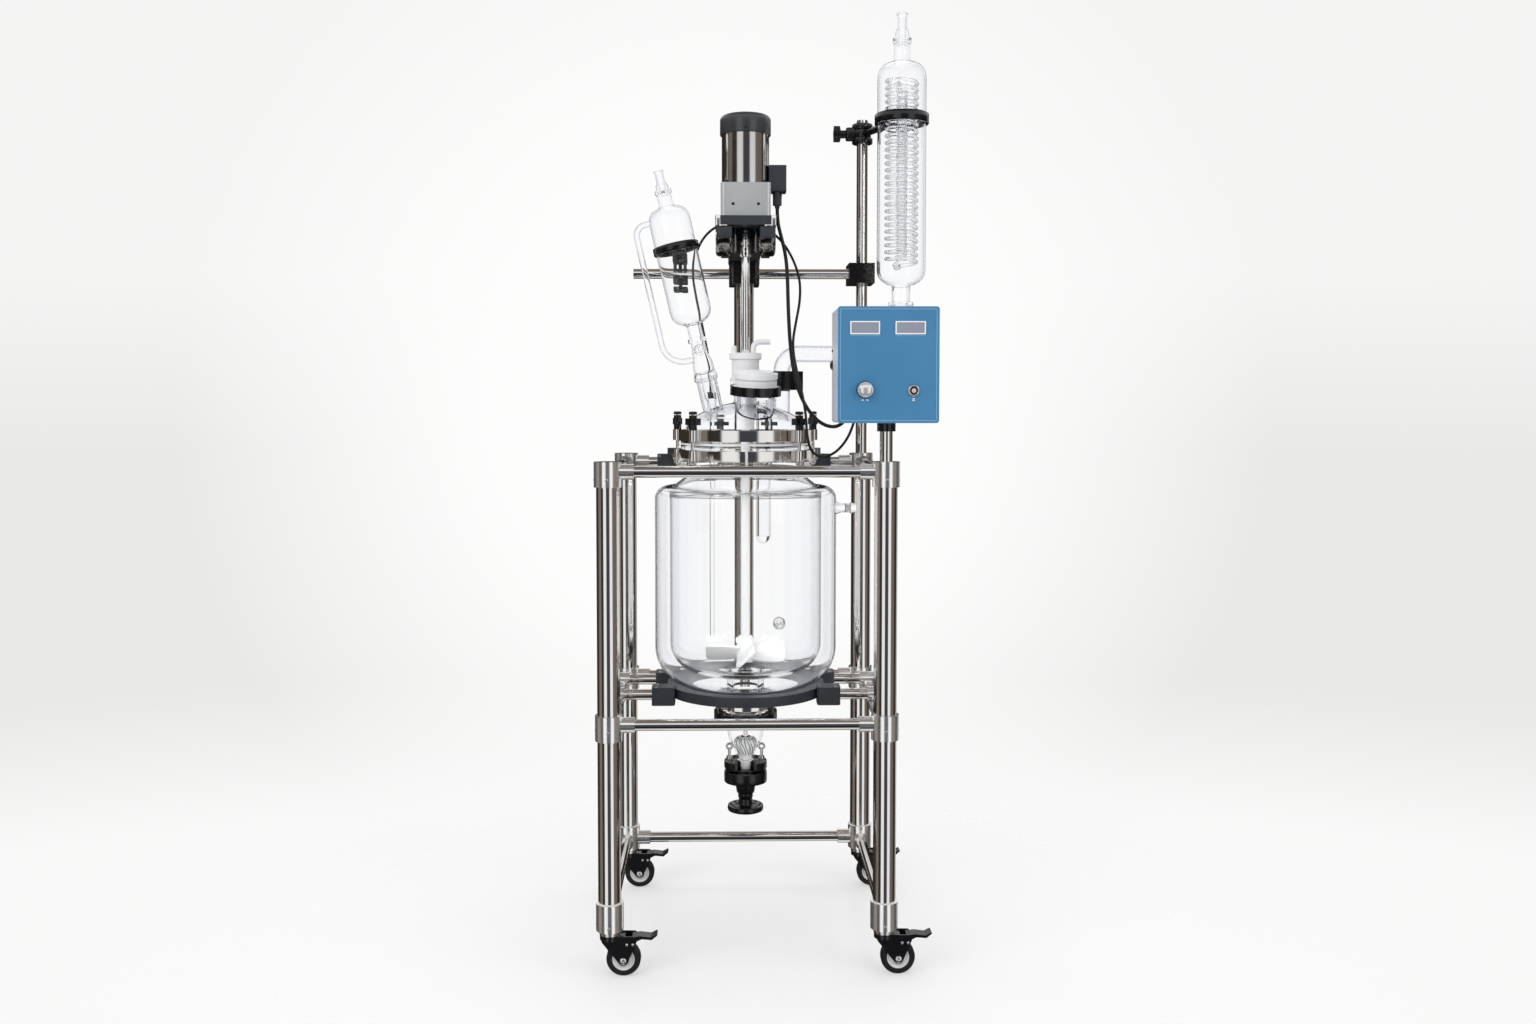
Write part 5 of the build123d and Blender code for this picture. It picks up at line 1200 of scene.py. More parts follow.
def makeMotor(setup):
    low, high, radius = setup["gearTop"], setup["bodyTop"], setup["bodyRadius"]
    outline = []
    for step in range(setup["steps"]):
        angle = 360 * step / setup["steps"] - 180
        away = min(abs((angle - flute + 180) % 360 - 180) for flute in setup["fluteAngles"])
        inset = setup["fluteDepth"] if away < setup["fluteWidth"] / 2 else 0
        outline.append(onCircle(radius - inset, angle)[:2])
    body = bmesh.new()
    addSlab(body, outline, Matrix.Identity(4), low, high - 0.5, edge=0)
    for flute in setup["fluteAngles"]:
        place = onCircle(radius - setup["fluteDepth"] + setup["rodRadius"], flute)
        addDisc(body, setup["rodRadius"], low + 8, high - 1, place, segments=16)
    finishPiece("motorBody", body, "motorSteel", "motor_grey", standsFor=("motor_body",))
    ends = bmesh.new()
    for flute in setup["fluteAngles"]:
        addDisc(ends, 4.6, low, low + 9, onCircle(radius - 1.5, flute), segments=20)
    outer, top = setup["capRadius"], high + setup["capHeight"]
    profile = [
        (0, high - 1), (outer - 3, high - 1), (outer - 0.6, high), (outer, high + 1.5), (outer, top - 11),
    ]
    profile += arcPoints((outer - 11, top - 11), 11, 15, 90, 5)
    profile += [(outer - 16, top), (outer - 18, top - 0.8), (0, top - 0.8)]
    turnPiece("motorCap", profile, "capGrey", "cap_grey", segments=96, standsFor=("motor_cap",))
    # A black disc on the front of the cap stands for a screw hole: painted shade inside the hole
    addDisc(ends, 2.6, -1, 0.9, (0, -outer, high + 8), (0, -1, 0), 0.3, 20)
    finishPiece("motorFixingsAndHoleShade", ends, "black", "black")


makeMotor(motor)

bracket = {
    "side": (
        (-62, 1640), (52, 1640), (52, 1610), (30, 1595), (4, 1591), (-24, 1594), (-46, 1606), (-60, 1622),
    ),
    "webs": ((30.0, 69.0), (-69.0, -30.0)),
    "pillars": ((24.5, -16), (-24.5, -16), (27.0, 12), (-27.0, 12)),
}


def makeBracketDetail(setup):
    # Rounded webs under the plate, bright along their lower edge, and the tie rods between them
    webs = bmesh.new()
    shoes = bmesh.new()
    for low, high in setup["webs"]:
        place = Matrix(((0, 0, 1, 0), (1, 0, 0, 0), (0, 1, 0, 0), (0, 0, 0, 1)))
        addSlab(webs, setup["side"], place, low, high, 7)
        addBlock(shoes, (low + 2, -66, 1626), (high - 1, 30, 1654.5), 4, 3)
    finishPiece("bracketWebs", webs, "darkSteel", "slate", crease=60)
    finishPiece("bracketShoes", shoes, "slate", "slate")
    pillars = bmesh.new()
    for x, y in setup["pillars"]:
        addDisc(pillars, 4.6, 1600, 1655.5, (x, y, 0), edge=1.0, segments=24)
    finishPiece("bracketPillars", pillars, "darkSteel", "stainless")
    keys = bmesh.new()
    for side in (-1, 1):
        addBlock(keys, (side * 63.5 - 5.5, -71.2, 1653), (side * 63.5 + 5.5, -64, 1677), 1.4, 2)
        addBlock(keys, (side * 52 - 9, -70.8, 1651.5), (side * 52 + 9, -60, 1655.5), 1.4, 2)
    finishPiece("bracketKeys", keys, "collar", "stainless")
    corners = bmesh.new()
    for side in (-1, 1):
        addDisc(corners, 3.2, 1677, 1752, (side * 52, -53.2, 0), edge=0.8, segments=20)
    finishPiece("gearboxRods", corners, "collar", "stainless")
    places = [((x, -57.8, 1704), (0, -1, 0)) for x in (-29, 29)]
    makeScrews("gearboxScrews", places, {"radius": 3.4, "height": 1.6, "socket": 1.7}, "black", "black")


makeBracketDetail(bracket)
print("drive detailed")


# Stirrer: bright shaft above the seal, white sleeve and four pitched blades inside the vessel
stirrer = {
    "coupling": (
        (0, 1612.4), (10.3, 1612.4), (10.3, 1590), (13.2, 1590), (13.8, 1591.5), (13.8, 1612),
        (12.6, 1613.5), (12.6, 1617), (14.8, 1619), (14.8, 1640), (12.6, 1645), (9.4, 1648), (9.4, 1652),
        (8.0, 1654), (8.0, 1680), (0, 1680),
    ),
    "steelSpan": (1351.0, 1612.0),
    "sleeveSpan": (660.0, 1351.0),
    "sleeveRadius": 10.3,
    "hub": (
        (10.2, 638), (17.5, 638), (21, 641.5), (21, 672), (20, 690), (16.5, 699), (15.5, 702), (10.2, 702),
    ),
    "bladeRoot": 14.0,
    "bladeTip": 94.0,
    "bladeWidth": 60.0,
    "bladeMiddle": 661.0,
    "pitch": 45.0,
}


def makeStirrer(setup):
    turnPiece(
        "couplingShell", setup["coupling"], "shaft", "stainless", segments=64, body="stirrer",
        standsFor=("shaft_coupling",),
    )
    grubs = [((0, -13.9, z), (0, -1, 0)) for z in (1596, 1606)] + [((0, -14.8, 1630), (0, -1, 0))]
    makeScrews(
        "couplingGrubs", grubs, {"radius": 3.0, "height": 1.2, "socket": 1.6}, "black", "black", "stirrer",
    )
    steel = bmesh.new()
    low, high = setup["steelSpan"]
    addDisc(steel, 9.95, low, high, segments=48)
    finishPiece("shaftSteel", steel, "shaft", "stainless", "stirrer", standsFor=("stirrer_shaft",))
    low, high = setup["sleeveSpan"]
    wide = setup["sleeveRadius"]
    shape = [(0, low), (10, low), (10, 704), (wide, 705), (wide, 1175), (10, 1176), (10, high), (0, high)]
    turnPiece("shaftSleeve", shape, "ptfe", "ptfe", body="stirrer")
    turbine = bmesh.new()
    addLathe(turbine, setup["hub"], segments=64, closed=True)
    half = setup["bladeWidth"] / 2
    root, tip = setup["bladeRoot"], setup["bladeTip"]
    outline = [(root, -half * 0.72), (root + 26, -half * 0.94), (tip - 22, -half)]
    outline += arcPoints((tip - 14, -half + 14), 14, -75, 0, 5)
    outline += [(tip, half - 8)]
    outline += arcPoints((tip - 8, half - 8), 8, 15, 90, 5)
    outline += [(root + 30, half), (root, half * 0.8)]
    tilt = Matrix.Rotation(math.radians(setup["pitch"]), 4, "X")
    for angle in (0, 90, 180, 270):
        turn = Matrix.Rotation(math.radians(angle), 4, "Z") @ tilt
        place = Matrix.Translation((0, 0, setup["bladeMiddle"])) @ turn
        addSlab(turbine, outline, place, -3.6, 3.6, 1.8)
    finishPiece("stirrerTurbine", turbine, "ptfe", "ptfe", "stirrer", standsFor=("stirrer_paddle",))


makeStirrer(stirrer)
print("stirrer made")


# Control box: rim line, displays, knob, switch and the fittings on its side
panel = {
    "front": -325.0,
    "face": -324.0,
    "low": (188.5, 1206.6),
    "high": (401.5, 1450.6),
    "displays": ((214.0, 276.5), (308.8, 372.5)),
    "displayHeights": (1392.1, 1419.7),
    "knob": (245.7, 1276.3, 17.4),
    "switch": (347.9, 1274.6),
    "ringShape": ((8.2, -1), (12.7, -1), (12.7, 1.6), (11.6, 3.2), (10.2, 3.9), (8.9, 3.4), (8.2, 2.4)),
    "pushShape": ((0, -10), (7.9, -10), (7.9, 2.2), (7.2, 3.4), (5.6, 3.8), (5.2, 3.2), (0, 3.2)),
    "lensShape": ((0, 3.0), (4.8, 3.0), (4.8, 3.9), (3.6, 4.8), (1.6, 5.3), (1.2, 5.0), (0, 5.0)),
}


def addFrame(bm, low, high, thickness, back, front, edge):
    # Four rounded bars round a window
    (x0, z0), (x1, z1) = low, high
    addBlock(bm, (x0, front, z0), (x1, back, z0 + thickness), edge)
    addBlock(bm, (x0, front, z1 - thickness), (x1, back, z1), edge)
    addBlock(bm, (x0, front, z0 + thickness * 0.5), (x0 + thickness, back, z1 - thickness * 0.5), edge)
    addBlock(bm, (x1 - thickness, front, z0 + thickness * 0.5), (x1, back, z1 - thickness * 0.5), edge)


def makePanel(setup):
    face = setup["face"]
    frames = bmesh.new()
    windows = bmesh.new()
    sills = bmesh.new()
    low, high = setup["displayHeights"]
    for left, right in setup["displays"]:
        addFrame(frames, (left, low), (right, high), 2.7, face + 1, face - 2.6, 0.6)
        addBlock(windows, (left + 2, face - 0.9, low + 2), (right - 2, face + 2, high - 2), 0.3, 1)
        addBlock(sills, (left + 0.5, face - 0.5, low - 3.4), (right - 0.5, face + 0.5, low - 2.2), 0.2, 1)
    finishPiece("displayFrames", frames, "white", "trim_dark")
    finishPiece("displayWindows", windows, "display", "trim_dark")
    finishPiece("displaySills", sills, "panelBead", "panel_blue")
    x, z = setup["switch"]
    spot, toFront = (x, face, z), (0, -1, 0)
    turnPiece(
        "switchRing", setup["ringShape"], "chrome", "trim_dark", spot, toFront, 64, closed=True,
        standsFor=("panel_trims",), crease=60,
    )
    turnPiece(
        "switchPush", setup["pushShape"], "black", "switch_red", spot, toFront, body="power_button",
        standsFor=("power_button",),
    )
    turnPiece(
        "switchLens", setup["lensShape"], "lampPink", "switch_red", spot, toFront, 40, body="power_button",
    )
    kx, kz, radius = setup["knob"]
    spot = (kx, face, kz)
    skirt = [
        (0, 0.2), (radius + 0.6, 0.2), (radius + 0.6, 1.6), (radius - 0.6, 3.0), (radius - 1.2, 6), (0, 6),
    ]
    turnPiece("knobSkirt", skirt, "black", "black", spot, toFront, 64, body="speed_knob")
    profile = [
        (0, 5.0), (radius - 1.0, 5.0), (radius - 0.6, 5.6), (radius - 0.9, 12.0), (radius - 1.8, 13.6),
    ]
    profile += [
        ((radius - 3.2) * math.cos(math.radians(a)), 13.8 + 5.4 * math.sin(math.radians(a)))
        for a in range(0, 90, 10)
    ]
    profile.append((0, 19.2))
    turnPiece(
        "knobDome", profile, "satin", "stainless", spot, toFront, 64, body="speed_knob",
        standsFor=("speed_knob",), crease=40,
    )
    marks = bmesh.new()
    for left, right, low, high in ((-7.5, -2.5, -22.4, -20.4), (2.2, 7.4, -22.4, -20.4)):
        addBlock(marks, (kx + left, face - 0.25, kz + low), (kx + right, face + 0.4, kz + high), 0.12, 1)
    for low, high in ((-18.2, -16.2), (-21.4, -19.6)):
        addBlock(marks, (x - 2.6, face - 0.25, z + low), (x + 2.2, face + 0.4, z + high), 0.12, 1)
    finishPiece("dialMarks", marks, "white", "ptfe")
    line = bmesh.new()
    (x0, z0), (x1, z1) = setup["low"], setup["high"]
    addFrame(line, (x0 + 5.0, z0 + 5.0), (x1 - 5.0, z1 - 5.0), 1.5, face + 0.6, setup["front"] - 0.15, 0.3)
    finishPiece("panelBead", line, "panelBead", "panel_blue")
    side = bmesh.new()
    plug = [(0, -1), (10.5, -1), (10.5, 1.6), (8.6, 3.6), (5, 5.4), (0, 6.0)]
    addLathe(side, plug, (x0, -190, 1332), (-1, 0, 0), 40)
    stud = [(0, -1), (3.0, -1), (3.0, 1.4), (1.8, 2.4), (0, 2.8)]
    addLathe(side, stud, (x0, -196, 1363), (-1, 0, 0), 24)
    finishPiece("sidePlugs", side, "black", "black")


makePanel(panel)
print("control box detailed")


# Cable glands: ribbed nuts and tapered strain reliefs at both ends of the leads
glands = (
    {
        "name": "junctionGland", "place": (74, 0, 1739), "axis": (0, 0, -1), "nut": 10.4, "lead": 4.2,
        "end": 38, "body": 30,
    },
    {
        "name": "boxGlandMotor", "place": (222, -175, 1218.6), "axis": (0, 1, 0), "nut": 9.0, "lead": 4.2,
        "end": 33, "body": 12,
    },
    {
        "name": "boxGlandSensor", "place": (246, -175, 1218.6), "axis": (0, 1, 0), "nut": 9.0, "lead": 3.0,
        "end": 33, "body": 12,
    },
    {
        "name": "wellGland", "place": (-80, 75, 1262), "axis": (0, 0, 1), "nut": 13.6, "lead": 3.0,
        "end": 44, "body": 16,
    },
)


def makeGland(setup):
    nut, lead, body, end = setup["nut"], setup["lead"], setup["body"], setup["end"]
    bm = bmesh.new()
    outline = [
        (0, 0), (nut + 0.6, 0), (nut + 0.6, body * 0.3), (nut, body * 0.36), (nut, body * 0.78),
        (nut * 0.82, body), (lead + 2.4, body + 0.5), (lead + 1.9, body + 0.3 * (end - body)),
        (lead + 1.2, body + 0.7 * (end - body)), (lead + 0.5, end), (0, end),
    ]
    addLathe(bm, outline, setup["place"], setup["axis"], 12)
    finishPiece(setup["name"], bm, "black", "black", crease=25)


for gland in glands:
    makeGland(gland)
print("glands fitted")


# Bottom valve: white bush, ribbed bellows, black flanges with eye bolts, and the handwheel
valve = {
    "lobeRadius": 50.5,
    "topSpan": (386.0, 405.0),
    "lowSpan": (352.0, 381.0),
    "notch": 19.0,
    "waist": 0.08,
}


def makeValve(setup):
    black = bmesh.new()
    low, high = setup["topSpan"]
    radius, notch = setup["lobeRadius"], setup["notch"]
    arc = arcPoints((0, 0), radius, -60, 240, 50)
    arc += [
        (-notch, -radius * 0.82), (-notch, -18), (-14, -14), (14, -14), (notch, -18),
        (notch, -radius * 0.82),
    ]
    notched = [(x, y) for x, y in arc if not (abs(x) < notch and y < -30)]
    addSlab(black, notched, Matrix.Identity(4), low, high, 2.5)
    low, high = setup["lowSpan"]
    lobed = []
    for step in range(120):
        angle = math.radians(3 * step)
        swell = 1 - setup["waist"] * (1 - abs(math.cos(angle)) ** 2)
        lobed.append((radius * swell * math.cos(angle), radius * swell * math.sin(angle)))
    addSlab(black, lobed, Matrix.Identity(4), low, high, 4)
    profile = [
        (0, 352.5), (24.5, 352.5), (23.5, 346), (21.4, 330), (20.4, 327), (17.5, 325.5), (17.5, 316),
        (16.4, 314.4), (0, 314.4),
    ]
    addLathe(black, profile[::-1], segments=64)
    addLathe(black, [(0, 381), (34, 381), (34, 386.5), (0, 386.5)], segments=64)
    addDisc(black, 13, 20, 110, (0, 0, 370), (0, 1, 0), 1.5, 40)
    addDisc(black, 15, 20, 58, (0, 0, 370), (0, 1, 0), 1.5, 40)
    finishPiece("valveBody", black, "black", "black", standsFor=("valve_body",))
    bush = [(8.4, 383), (17.6, 383), (18.4, 405), (17.4, 406.5), (8.4, 406.5)]
    turnPiece("valveBush", bush, "ptfe", "ptfe", segments=64, closed=True)
    bolts = bmesh.new()
    for side in (-1, 1):
        addDisc(bolts, 3.5, 383, 430, (side * 38, 0, 0), segments=24)
        addDisc(bolts, 6.6, 405, 411.5, (side * 38, 0, 0), segments=6)
        ring = [
            (side * 38 + 6.5 * math.sin(t), 0, 437 - 6.5 * math.cos(t))
            for t in [2 * math.pi * k / 12 for k in range(13)]
        ]
        addPipe(bolts, ring, 2.6)
    finishPiece("eyeBolts", bolts, "chrome", "stainless")


makeValve(valve)

bellows = {
    "ribs": 22,
    "steps": 180,
    "twist": 0.8,
    "ribLift": 1.15,
    "creaseShadeRadius": 0.75,
    "profile": (
        (407.5, 14.6), (413, 15.6), (420, 17.4), (427, 20.0), (434, 22.8), (441, 25.4), (447, 26.8),
        (452, 26.4), (456, 23.4), (459, 18.4), (461, 12.5),
    ),
    "wall": 1.6,
}
valveGlass = (
    (17.2, 406.3), (20.2, 406.3), (20.6, 411), (22.4, 420), (26.4, 430), (31.6, 440), (37.2, 452),
    (40.8, 463), (42.3, 474), (42.5, 486), (42.5, 492), (44, 493.6), (49.4, 493.6), (50, 494.6),
    (50, 501), (49.2, 501.7), (38.6, 501.7), (38.5, 486), (38.2, 474), (36.8, 464), (33.4, 453.6),
    (28.2, 442), (23.2, 432), (19.4, 421.4), (17.6, 412),
)


def makeBellows(setup):
    # Twisted ribs round a thin shell
    bm = bmesh.new()
    steps, ribs = setup["steps"], setup["ribs"]
    shells = []
    low, high = setup["profile"][0][0], setup["profile"][-1][0]
    for inner in (False, True):
        rings = []
        for height, radius in setup["profile"]:
            ring = []
            share = (height - low) / (high - low)
            for step in range(steps):
                angle = 2 * math.pi * step / steps
                wave = math.cos(ribs * (angle + setup["twist"] * share))
                swell = setup["ribLift"] * math.sin(math.pi * share) ** 0.5 * wave
                reach = radius + swell - (setup["wall"] if inner else 0)
                ring.append(bm.verts.new((reach * math.cos(angle), reach * math.sin(angle), height)))
            rings.append(ring)
        shells.append(rings)
    outer, inner = shells
    joinRings(bm, outer + inner[::-1])
    finishPiece("valveBellows", bm, "ptfe", "ptfe", crease=60)
    # Thin black bars along the valleys between the ribs: painted shade in the creases of the white bellows
    creaseShade = bmesh.new()
    for rib in range(ribs):
        points = []
        for height, radius in setup["profile"][2:-1]:
            share = (height - low) / (high - low)
            wander = 0.05 * math.sin(9 * share + 2.4 * rib)
            angle = (2 * rib + 1) * math.pi / ribs - setup["twist"] * share + wander
            points.append(((radius - 0.2) * math.cos(angle), (radius - 0.2) * math.sin(angle), height))
        addPipe(creaseShade, points, setup["creaseShadeRadius"])
    finishPiece("bellowsCreaseShade", creaseShade, "black", "ptfe")


def makeValveInside():
    # Tapered glass, and the plug with its stem that slides inside the bellows
    turnPiece(
        "valveGlass", valveGlass, "glass", "clear_glass", segments=96, closed=True,
        standsFor=("drain_glass",), crease=50,
    )
    stem = [(0, 303), (7, 303), (7.9, 304), (7.9, 384), (5.8, 387), (5.8, 499), (0, 499)]
    turnPiece(
        "plugStem", stem, "stainless", "stainless", segments=40, body="drain_plug",
        standsFor=("drain_plug",),
    )
    head = [(0, 497), (8, 497), (10, 500), (21, 503), (23.4, 506), (23.4, 517), (14, 523), (0, 523)]
    turnPiece("plugHead", head, "ptfe", "ptfe", segments=64, body="drain_plug")


makeBellows(bellows)
makeValveInside()

wheel = {"radius": 42.5, "base": 284.0}


def makeHandwheel(setup):
    r, z = setup["radius"], setup["base"]
    outline = [
        (8.1, z + 1), (12, z), (r - 12, z + 1), (r - 4, z), (r - 1.2, z + 1.2), (r, z + 4.5),
        (r, z + 9.5), (r - 1.2, z + 12.8), (r - 4, z + 14), (r - 9, z + 13.4), (r - 16, z + 12),
        (22, z + 12.5), (18, z + 15), (16.5, z + 20), (16, z + 28), (14.5, z + 29.5), (8.1, z + 29.5),
    ]
    turnPiece(
        "handwheelDisc", outline, "black", "black", segments=96, closed=True, body="handwheel",
        standsFor=("handwheel",),
    )
    dots = [(onCircle(r - 8, degrees, z + 13.8), (0, 0, 1)) for degrees in range(0, 360, 45)]
    stud = {"radius": 3.0, "height": 2.4, "socket": 1.4}
    makeScrews("handwheelStuds", dots, stud, "black", "black", "handwheel")


makeHandwheel(wheel)
print("valve detailed")


# Screws and nuts on the stand, the clamp rings and the holders
studAngles = (-43, 12, 68, 112, 168, 223)
studCircle = 164


def aroundStuds(height):
    return [(onCircle(studCircle, degrees, height), (0, 0, 1)) for degrees in studAngles]


def makeFixings():
    ringPlaces = []
    for side in (-1, 1):
        for y in (-98, -68, 68, 98):
            ringPlaces.append(((side * 205, y, 600.6), (0, 0, 1)))
    makeScrews("ringBlockScrews", ringPlaces, {"radius": 3.6, "height": 2.6, "socket": 1.8})
    armPlaces = []
    for side in (-1, 1):
        for dx in (-17, 17):
            for dz in (-13, 15):
                armPlaces.append(((side * 196 + dx, 243.4, 1101 + dz), (0, -1, 0)))
    makeScrews("bracketScrews", armPlaces, {"radius": 3.2, "height": 2.4, "socket": 1.6})
    collarPlaces = []
    for x, outward in ((-300, -1), (300, 1)):
        for y, toward in ((-250, -1), (270, 1)):
            for z in (112, 540, 1084):
                collarPlaces.append(((x, y + toward * 29.7, z), (0, toward, 0)))
                collarPlaces.append(((x + outward * 29.7, y, z), (outward, 0, 0)))
    makeScrews("collarScrews", collarPlaces, {"radius": 3.4, "height": 1.4, "socket": 1.9})
    nut = {"radius": 7.4, "height": 6.5, "socket": 0.6, "sides": 6}
    makeScrews("lowerNuts", aroundStuds(1106.2), nut, "stainless")
    makeScrews("upperNuts", aroundStuds(1193.6), {**nut, "height": 6.0}, "stainless")
    tips = bmesh.new()
    tip = [(0, 1223), (8.8, 1223), (9.4, 1225), (9.4, 1228), (8.0, 1230), (0, 1230.4)]
    for place, _ in aroundStuds(0):
        addLathe(tips, tip, place, segments=32)
    finishPiece("studCaps", tips, "black", "black")


makeFixings()
print("fixings placed")


# Studio: a pale floor that fades into a white world, with strip lights round it for the metal
studio = {
    "floorRadius": 2.3,
    "fadeStart": 0.4,
    "fadeEnd": 1.7,
    "least": 0.48,
    "floorColour": (0.95, 0.945, 0.94),
    "white": (0.985, 0.983, 0.98),
    "grey": (0.82, 0.815, 0.81),
    "ambient": (0.60, 0.605, 0.62),
}


def makeFloor(setup):
    bm = bmesh.new()
    bmesh.ops.create_circle(bm, cap_ends=True, segments=96, radius=setup["floorRadius"])
    mesh = bpy.data.meshes.new("studioFloor")
    bm.to_mesh(mesh)
    bm.free()
    floor = bpy.data.objects.new("studioFloor", mesh)
    floor.visible_glossy = False
    scene.collection.objects.link(floor)
    material, tree, shader = startMaterial("studioPaper")
    link = tree.links.new
    look = {"Base Color": (*setup["floorColour"], 1), "Roughness": 0.5, "Specular IOR Level": 0.25}
    setSockets(shader, look)
    rays = addNode(tree, "ShaderNodeLightPath")
    away = addNode(tree, "ShaderNodeBsdfTransparent")
    seen = addMath(tree, "MAXIMUM", rays.outputs["Is Camera Ray"], rays.outputs["Is Transmission Ray"])
    coords = addNode(tree, "ShaderNodeTexCoord")
    reach = addNode(tree, "ShaderNodeVectorMath", {"operation": "LENGTH"})
    link(coords.outputs["Object"], reach.inputs[0])
    fade = addNode(tree, "ShaderNodeMapRange", {"interpolation_type": "SMOOTHSTEP"})
    link(reach.outputs["Value"], fade.inputs["Value"])
    span = {"From Min": setup["fadeStart"], "From Max": setup["fadeEnd"], "To Min": setup["least"]}
    setSockets(fade, span)
    share = addMath(tree, "MULTIPLY", seen, fade.outputs[0])
    blend = addNode(tree, "ShaderNodeMixShader")
    output = next(node for node in tree.nodes if node.type == "OUTPUT_MATERIAL")
    link(share, blend.inputs[0])
    link(shader.outputs[0], blend.inputs[1])
    link(away.outputs[0], blend.inputs[2])
    link(blend.outputs[0], output.inputs["Surface"])
    mesh.materials.append(material)


# Bearings in degrees from the front, positive to the right, with what stands there
strips = (
    (-180, (0.04, 0.032, 0.026)), (-104, (0.04, 0.032, 0.026)), (-100, (0.20, 0.17, 0.15)),
    (-70, (0.23, 0.20, 0.175)), (-66, (0.035, 0.03, 0.026)), (-44, (0.045, 0.038, 0.034)),
    (-39, (1.0, 1.0, 1.0)), (-15, (1.0, 1.0, 1.0)), (-10, (0.05, 0.055, 0.068)),
    (18, (0.06, 0.065, 0.078)), (23, (1.0, 1.0, 1.0)), (45, (1.0, 1.0, 1.0)), (50, (0.20, 0.17, 0.15)),
    (84, (0.16, 0.135, 0.115)), (89, (0.045, 0.036, 0.03)), (126, (0.04, 0.032, 0.026)),
    (131, (0.75, 0.73, 0.70)), (148, (0.70, 0.68, 0.65)), (153, (0.02, 0.015, 0.01)),
    (180, (0.02, 0.015, 0.01)),
)
# By height, from straight below at 0 to straight above at 1
heightStops = {
    "overhead": (
        (0.0, (0.80, 0.78, 0.75)), (0.13, (0.80, 0.78, 0.75)), (0.165, (0.01, 0.01, 0.01)),
        (0.585, (0, 0, 0)), (0.60, (0.97, 0.97, 0.97)), (0.72, (0.97, 0.97, 0.97)),
        (0.75, (0.26, 0.22, 0.19)), (1.0, (0.16, 0.14, 0.125)),
    ),
    "level": (
        (0.0, (0, 0, 0)), (0.31, (0, 0, 0)), (0.35, (1, 1, 1)), (0.57, (1, 1, 1)), (0.60, (0, 0, 0)),
        (1.0, (0, 0, 0)),
    ),
    "paper": (
        (0.0, (0.2, 0.2, 0.2)), (0.405, (0.2, 0.2, 0.2)), (0.435, (1, 1, 1)), (0.49, (1, 1, 1)),
        (0.53, (0.45, 0.45, 0.45)), (0.60, (0.45, 0.45, 0.45)), (1.0, (0.2, 0.2, 0.2)),
    ),
}
lamps = (
    {"name": "keyLamp", "place": (-2.6, -2.6, 3.0), "aim": (0, 0, 1.1), "size": 2.2, "power": 60},
    {"name": "fillLamp", "place": (2.8, -2.2, 2.2), "aim": (0, 0, 1.0), "size": 2.4, "power": 36},
    {"name": "topLamp", "place": (0.2, 0.6, 4.2), "aim": (0, 0, 0.8), "size": 2.6, "power": 50},
)


def makeLamp(setup):
    data = bpy.data.lights.new(setup["name"], "AREA")
    data.shape = "SQUARE"
    data.size = setup["size"]
    data.energy = setup["power"]
    lamp = bpy.data.objects.new(setup["name"], data)
    lamp.location = setup["place"]
    aim = Vector(setup["aim"]) - Vector(setup["place"])
    lamp.rotation_euler = aim.to_track_quat("-Z", "Y").to_euler()
    lamp.visible_glossy = False
    scene.collection.objects.link(lamp)


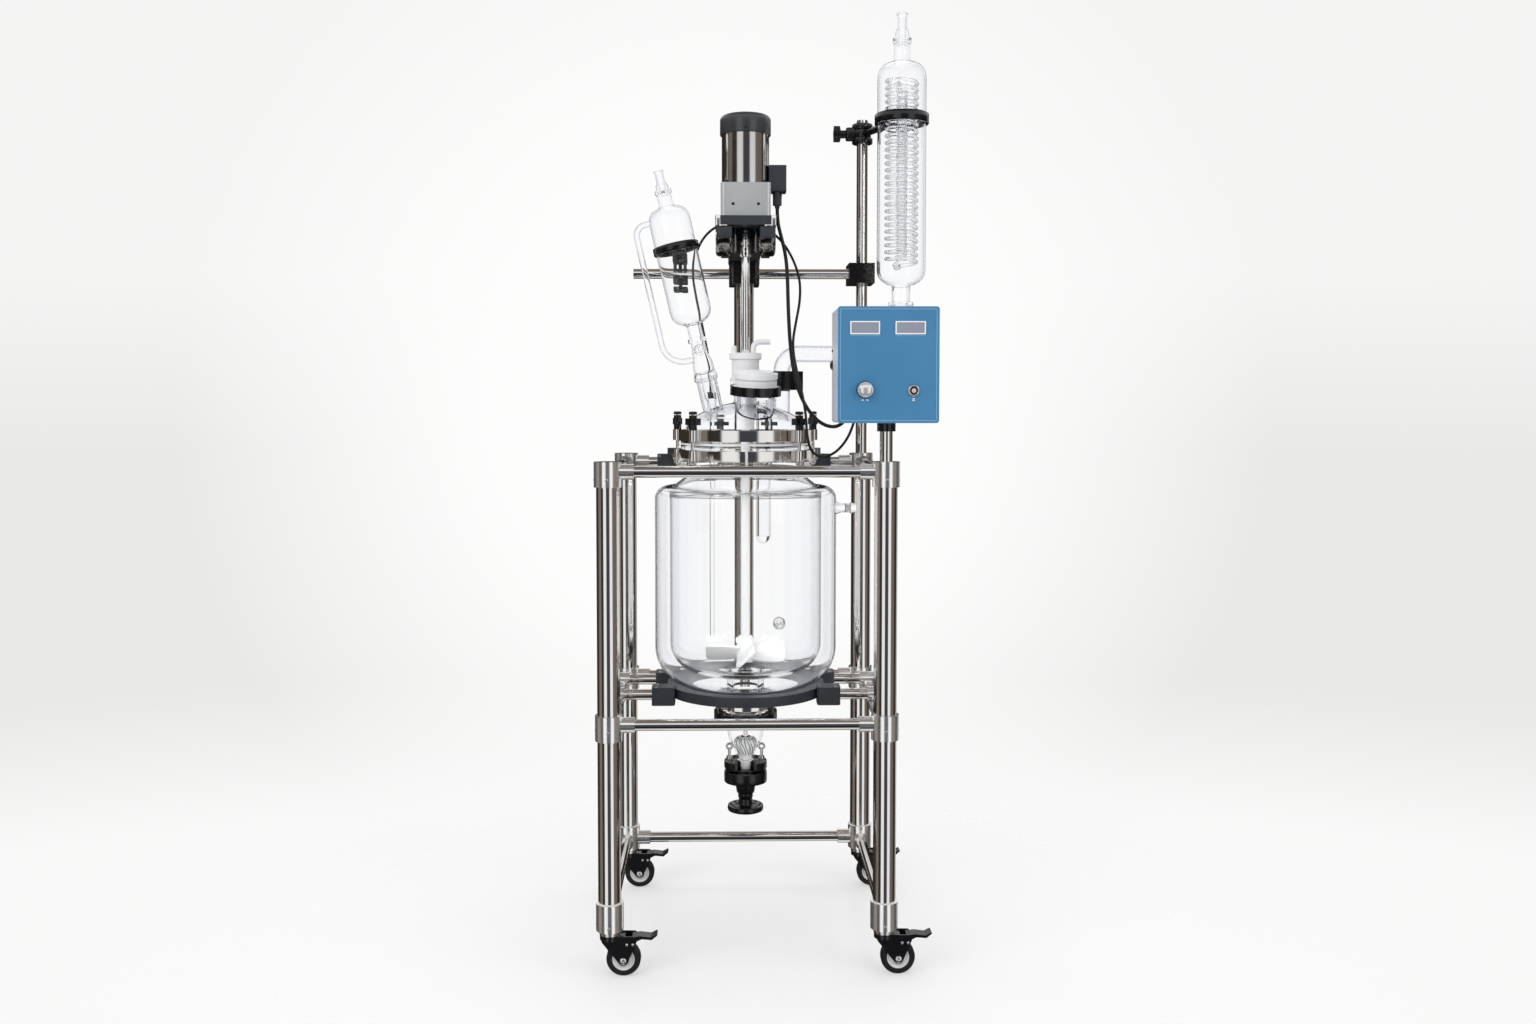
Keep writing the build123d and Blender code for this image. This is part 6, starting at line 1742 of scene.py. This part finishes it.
def makeWorld(setup):
    world = bpy.data.worlds.new("paleStudio")
    world.use_nodes = True
    scene.world = world
    tree = world.node_tree
    link = tree.links.new
    back = tree.nodes["Background"]
    coords = addNode(tree, "ShaderNodeTexCoord")
    split = addNode(tree, "ShaderNodeSeparateXYZ")
    link(coords.outputs["Generated"], split.inputs[0])
    toFront = addMath(tree, "MULTIPLY", split.outputs[1], -1.0)
    bearing = addMath(tree, "ARCTAN2", split.outputs[0], toFront)
    around = addMath(tree, "ADD", addMath(tree, "DIVIDE", bearing, 2 * math.pi), 0.5)
    side = addNode(tree, "ShaderNodeValToRGB")
    fillRamp(side, [(place / 360 + 0.5, colour) for place, colour in strips])
    link(around, side.inputs[0])
    rise = addNode(tree, "ShaderNodeValToRGB")
    fillRamp(rise, heightStops["overhead"])
    slope = addMath(tree, "ARCSINE", split.outputs[2])
    height = addMath(tree, "ADD", addMath(tree, "DIVIDE", slope, math.pi), 0.5)
    link(height, rise.inputs[0])
    level = addNode(tree, "ShaderNodeValToRGB")
    fillRamp(level, heightStops["level"])
    link(height, level.inputs[0])
    studioLook = addNode(tree, "ShaderNodeMix", {"data_type": "RGBA"})
    link(level.outputs[0], studioLook.inputs["Factor"])
    link(rise.outputs[0], studioLook.inputs[6])
    link(side.outputs[0], studioLook.inputs[7])
    rays = addNode(tree, "ShaderNodeLightPath")
    ambient = addNode(tree, "ShaderNodeMix", {"data_type": "RGBA"})
    ambient.inputs[6].default_value = (*setup["ambient"], 1)
    link(rays.outputs["Is Glossy Ray"], ambient.inputs["Factor"])
    link(studioLook.outputs[2], ambient.inputs[7])
    seen = addMath(tree, "MAXIMUM", rays.outputs["Is Camera Ray"], rays.outputs["Is Transmission Ray"])
    final = addNode(tree, "ShaderNodeMix", {"data_type": "RGBA"})
    # Behind the object the paper is white, and painted greyer towards the sides at mid height, as painted
    # shade on the backdrop
    behind = addNode(tree, "ShaderNodeValToRGB")
    white, grey = setup["white"], setup["grey"]
    middle = tuple((a + b) / 2 for a, b in zip(white, grey))
    fillRamp(
        behind, ((0.0, middle), (0.85, grey), (0.92, grey), (0.955, middle), (0.985, white), (1.0, white)),
    )
    link(addMath(tree, "ABSOLUTE", split.outputs[1]), behind.inputs[0])
    band = addNode(tree, "ShaderNodeValToRGB")
    fillRamp(band, heightStops["paper"])
    link(height, band.inputs[0])
    paper = addNode(tree, "ShaderNodeMix", {"data_type": "RGBA"})
    paper.inputs[6].default_value = (*white, 1)
    link(band.outputs[0], paper.inputs["Factor"])
    link(behind.outputs[0], paper.inputs[7])
    link(paper.outputs[2], final.inputs[7])
    link(seen, final.inputs["Factor"])
    link(ambient.outputs[2], final.inputs[6])
    link(final.outputs[2], back.inputs["Color"])
    back.inputs["Strength"].default_value = 1.0


makeFloor(studio)
for lampSetup in lamps:
    makeLamp(lampSetup)
makeWorld(studio)
scene.view_settings.view_transform = "Standard"
print("studio lit")
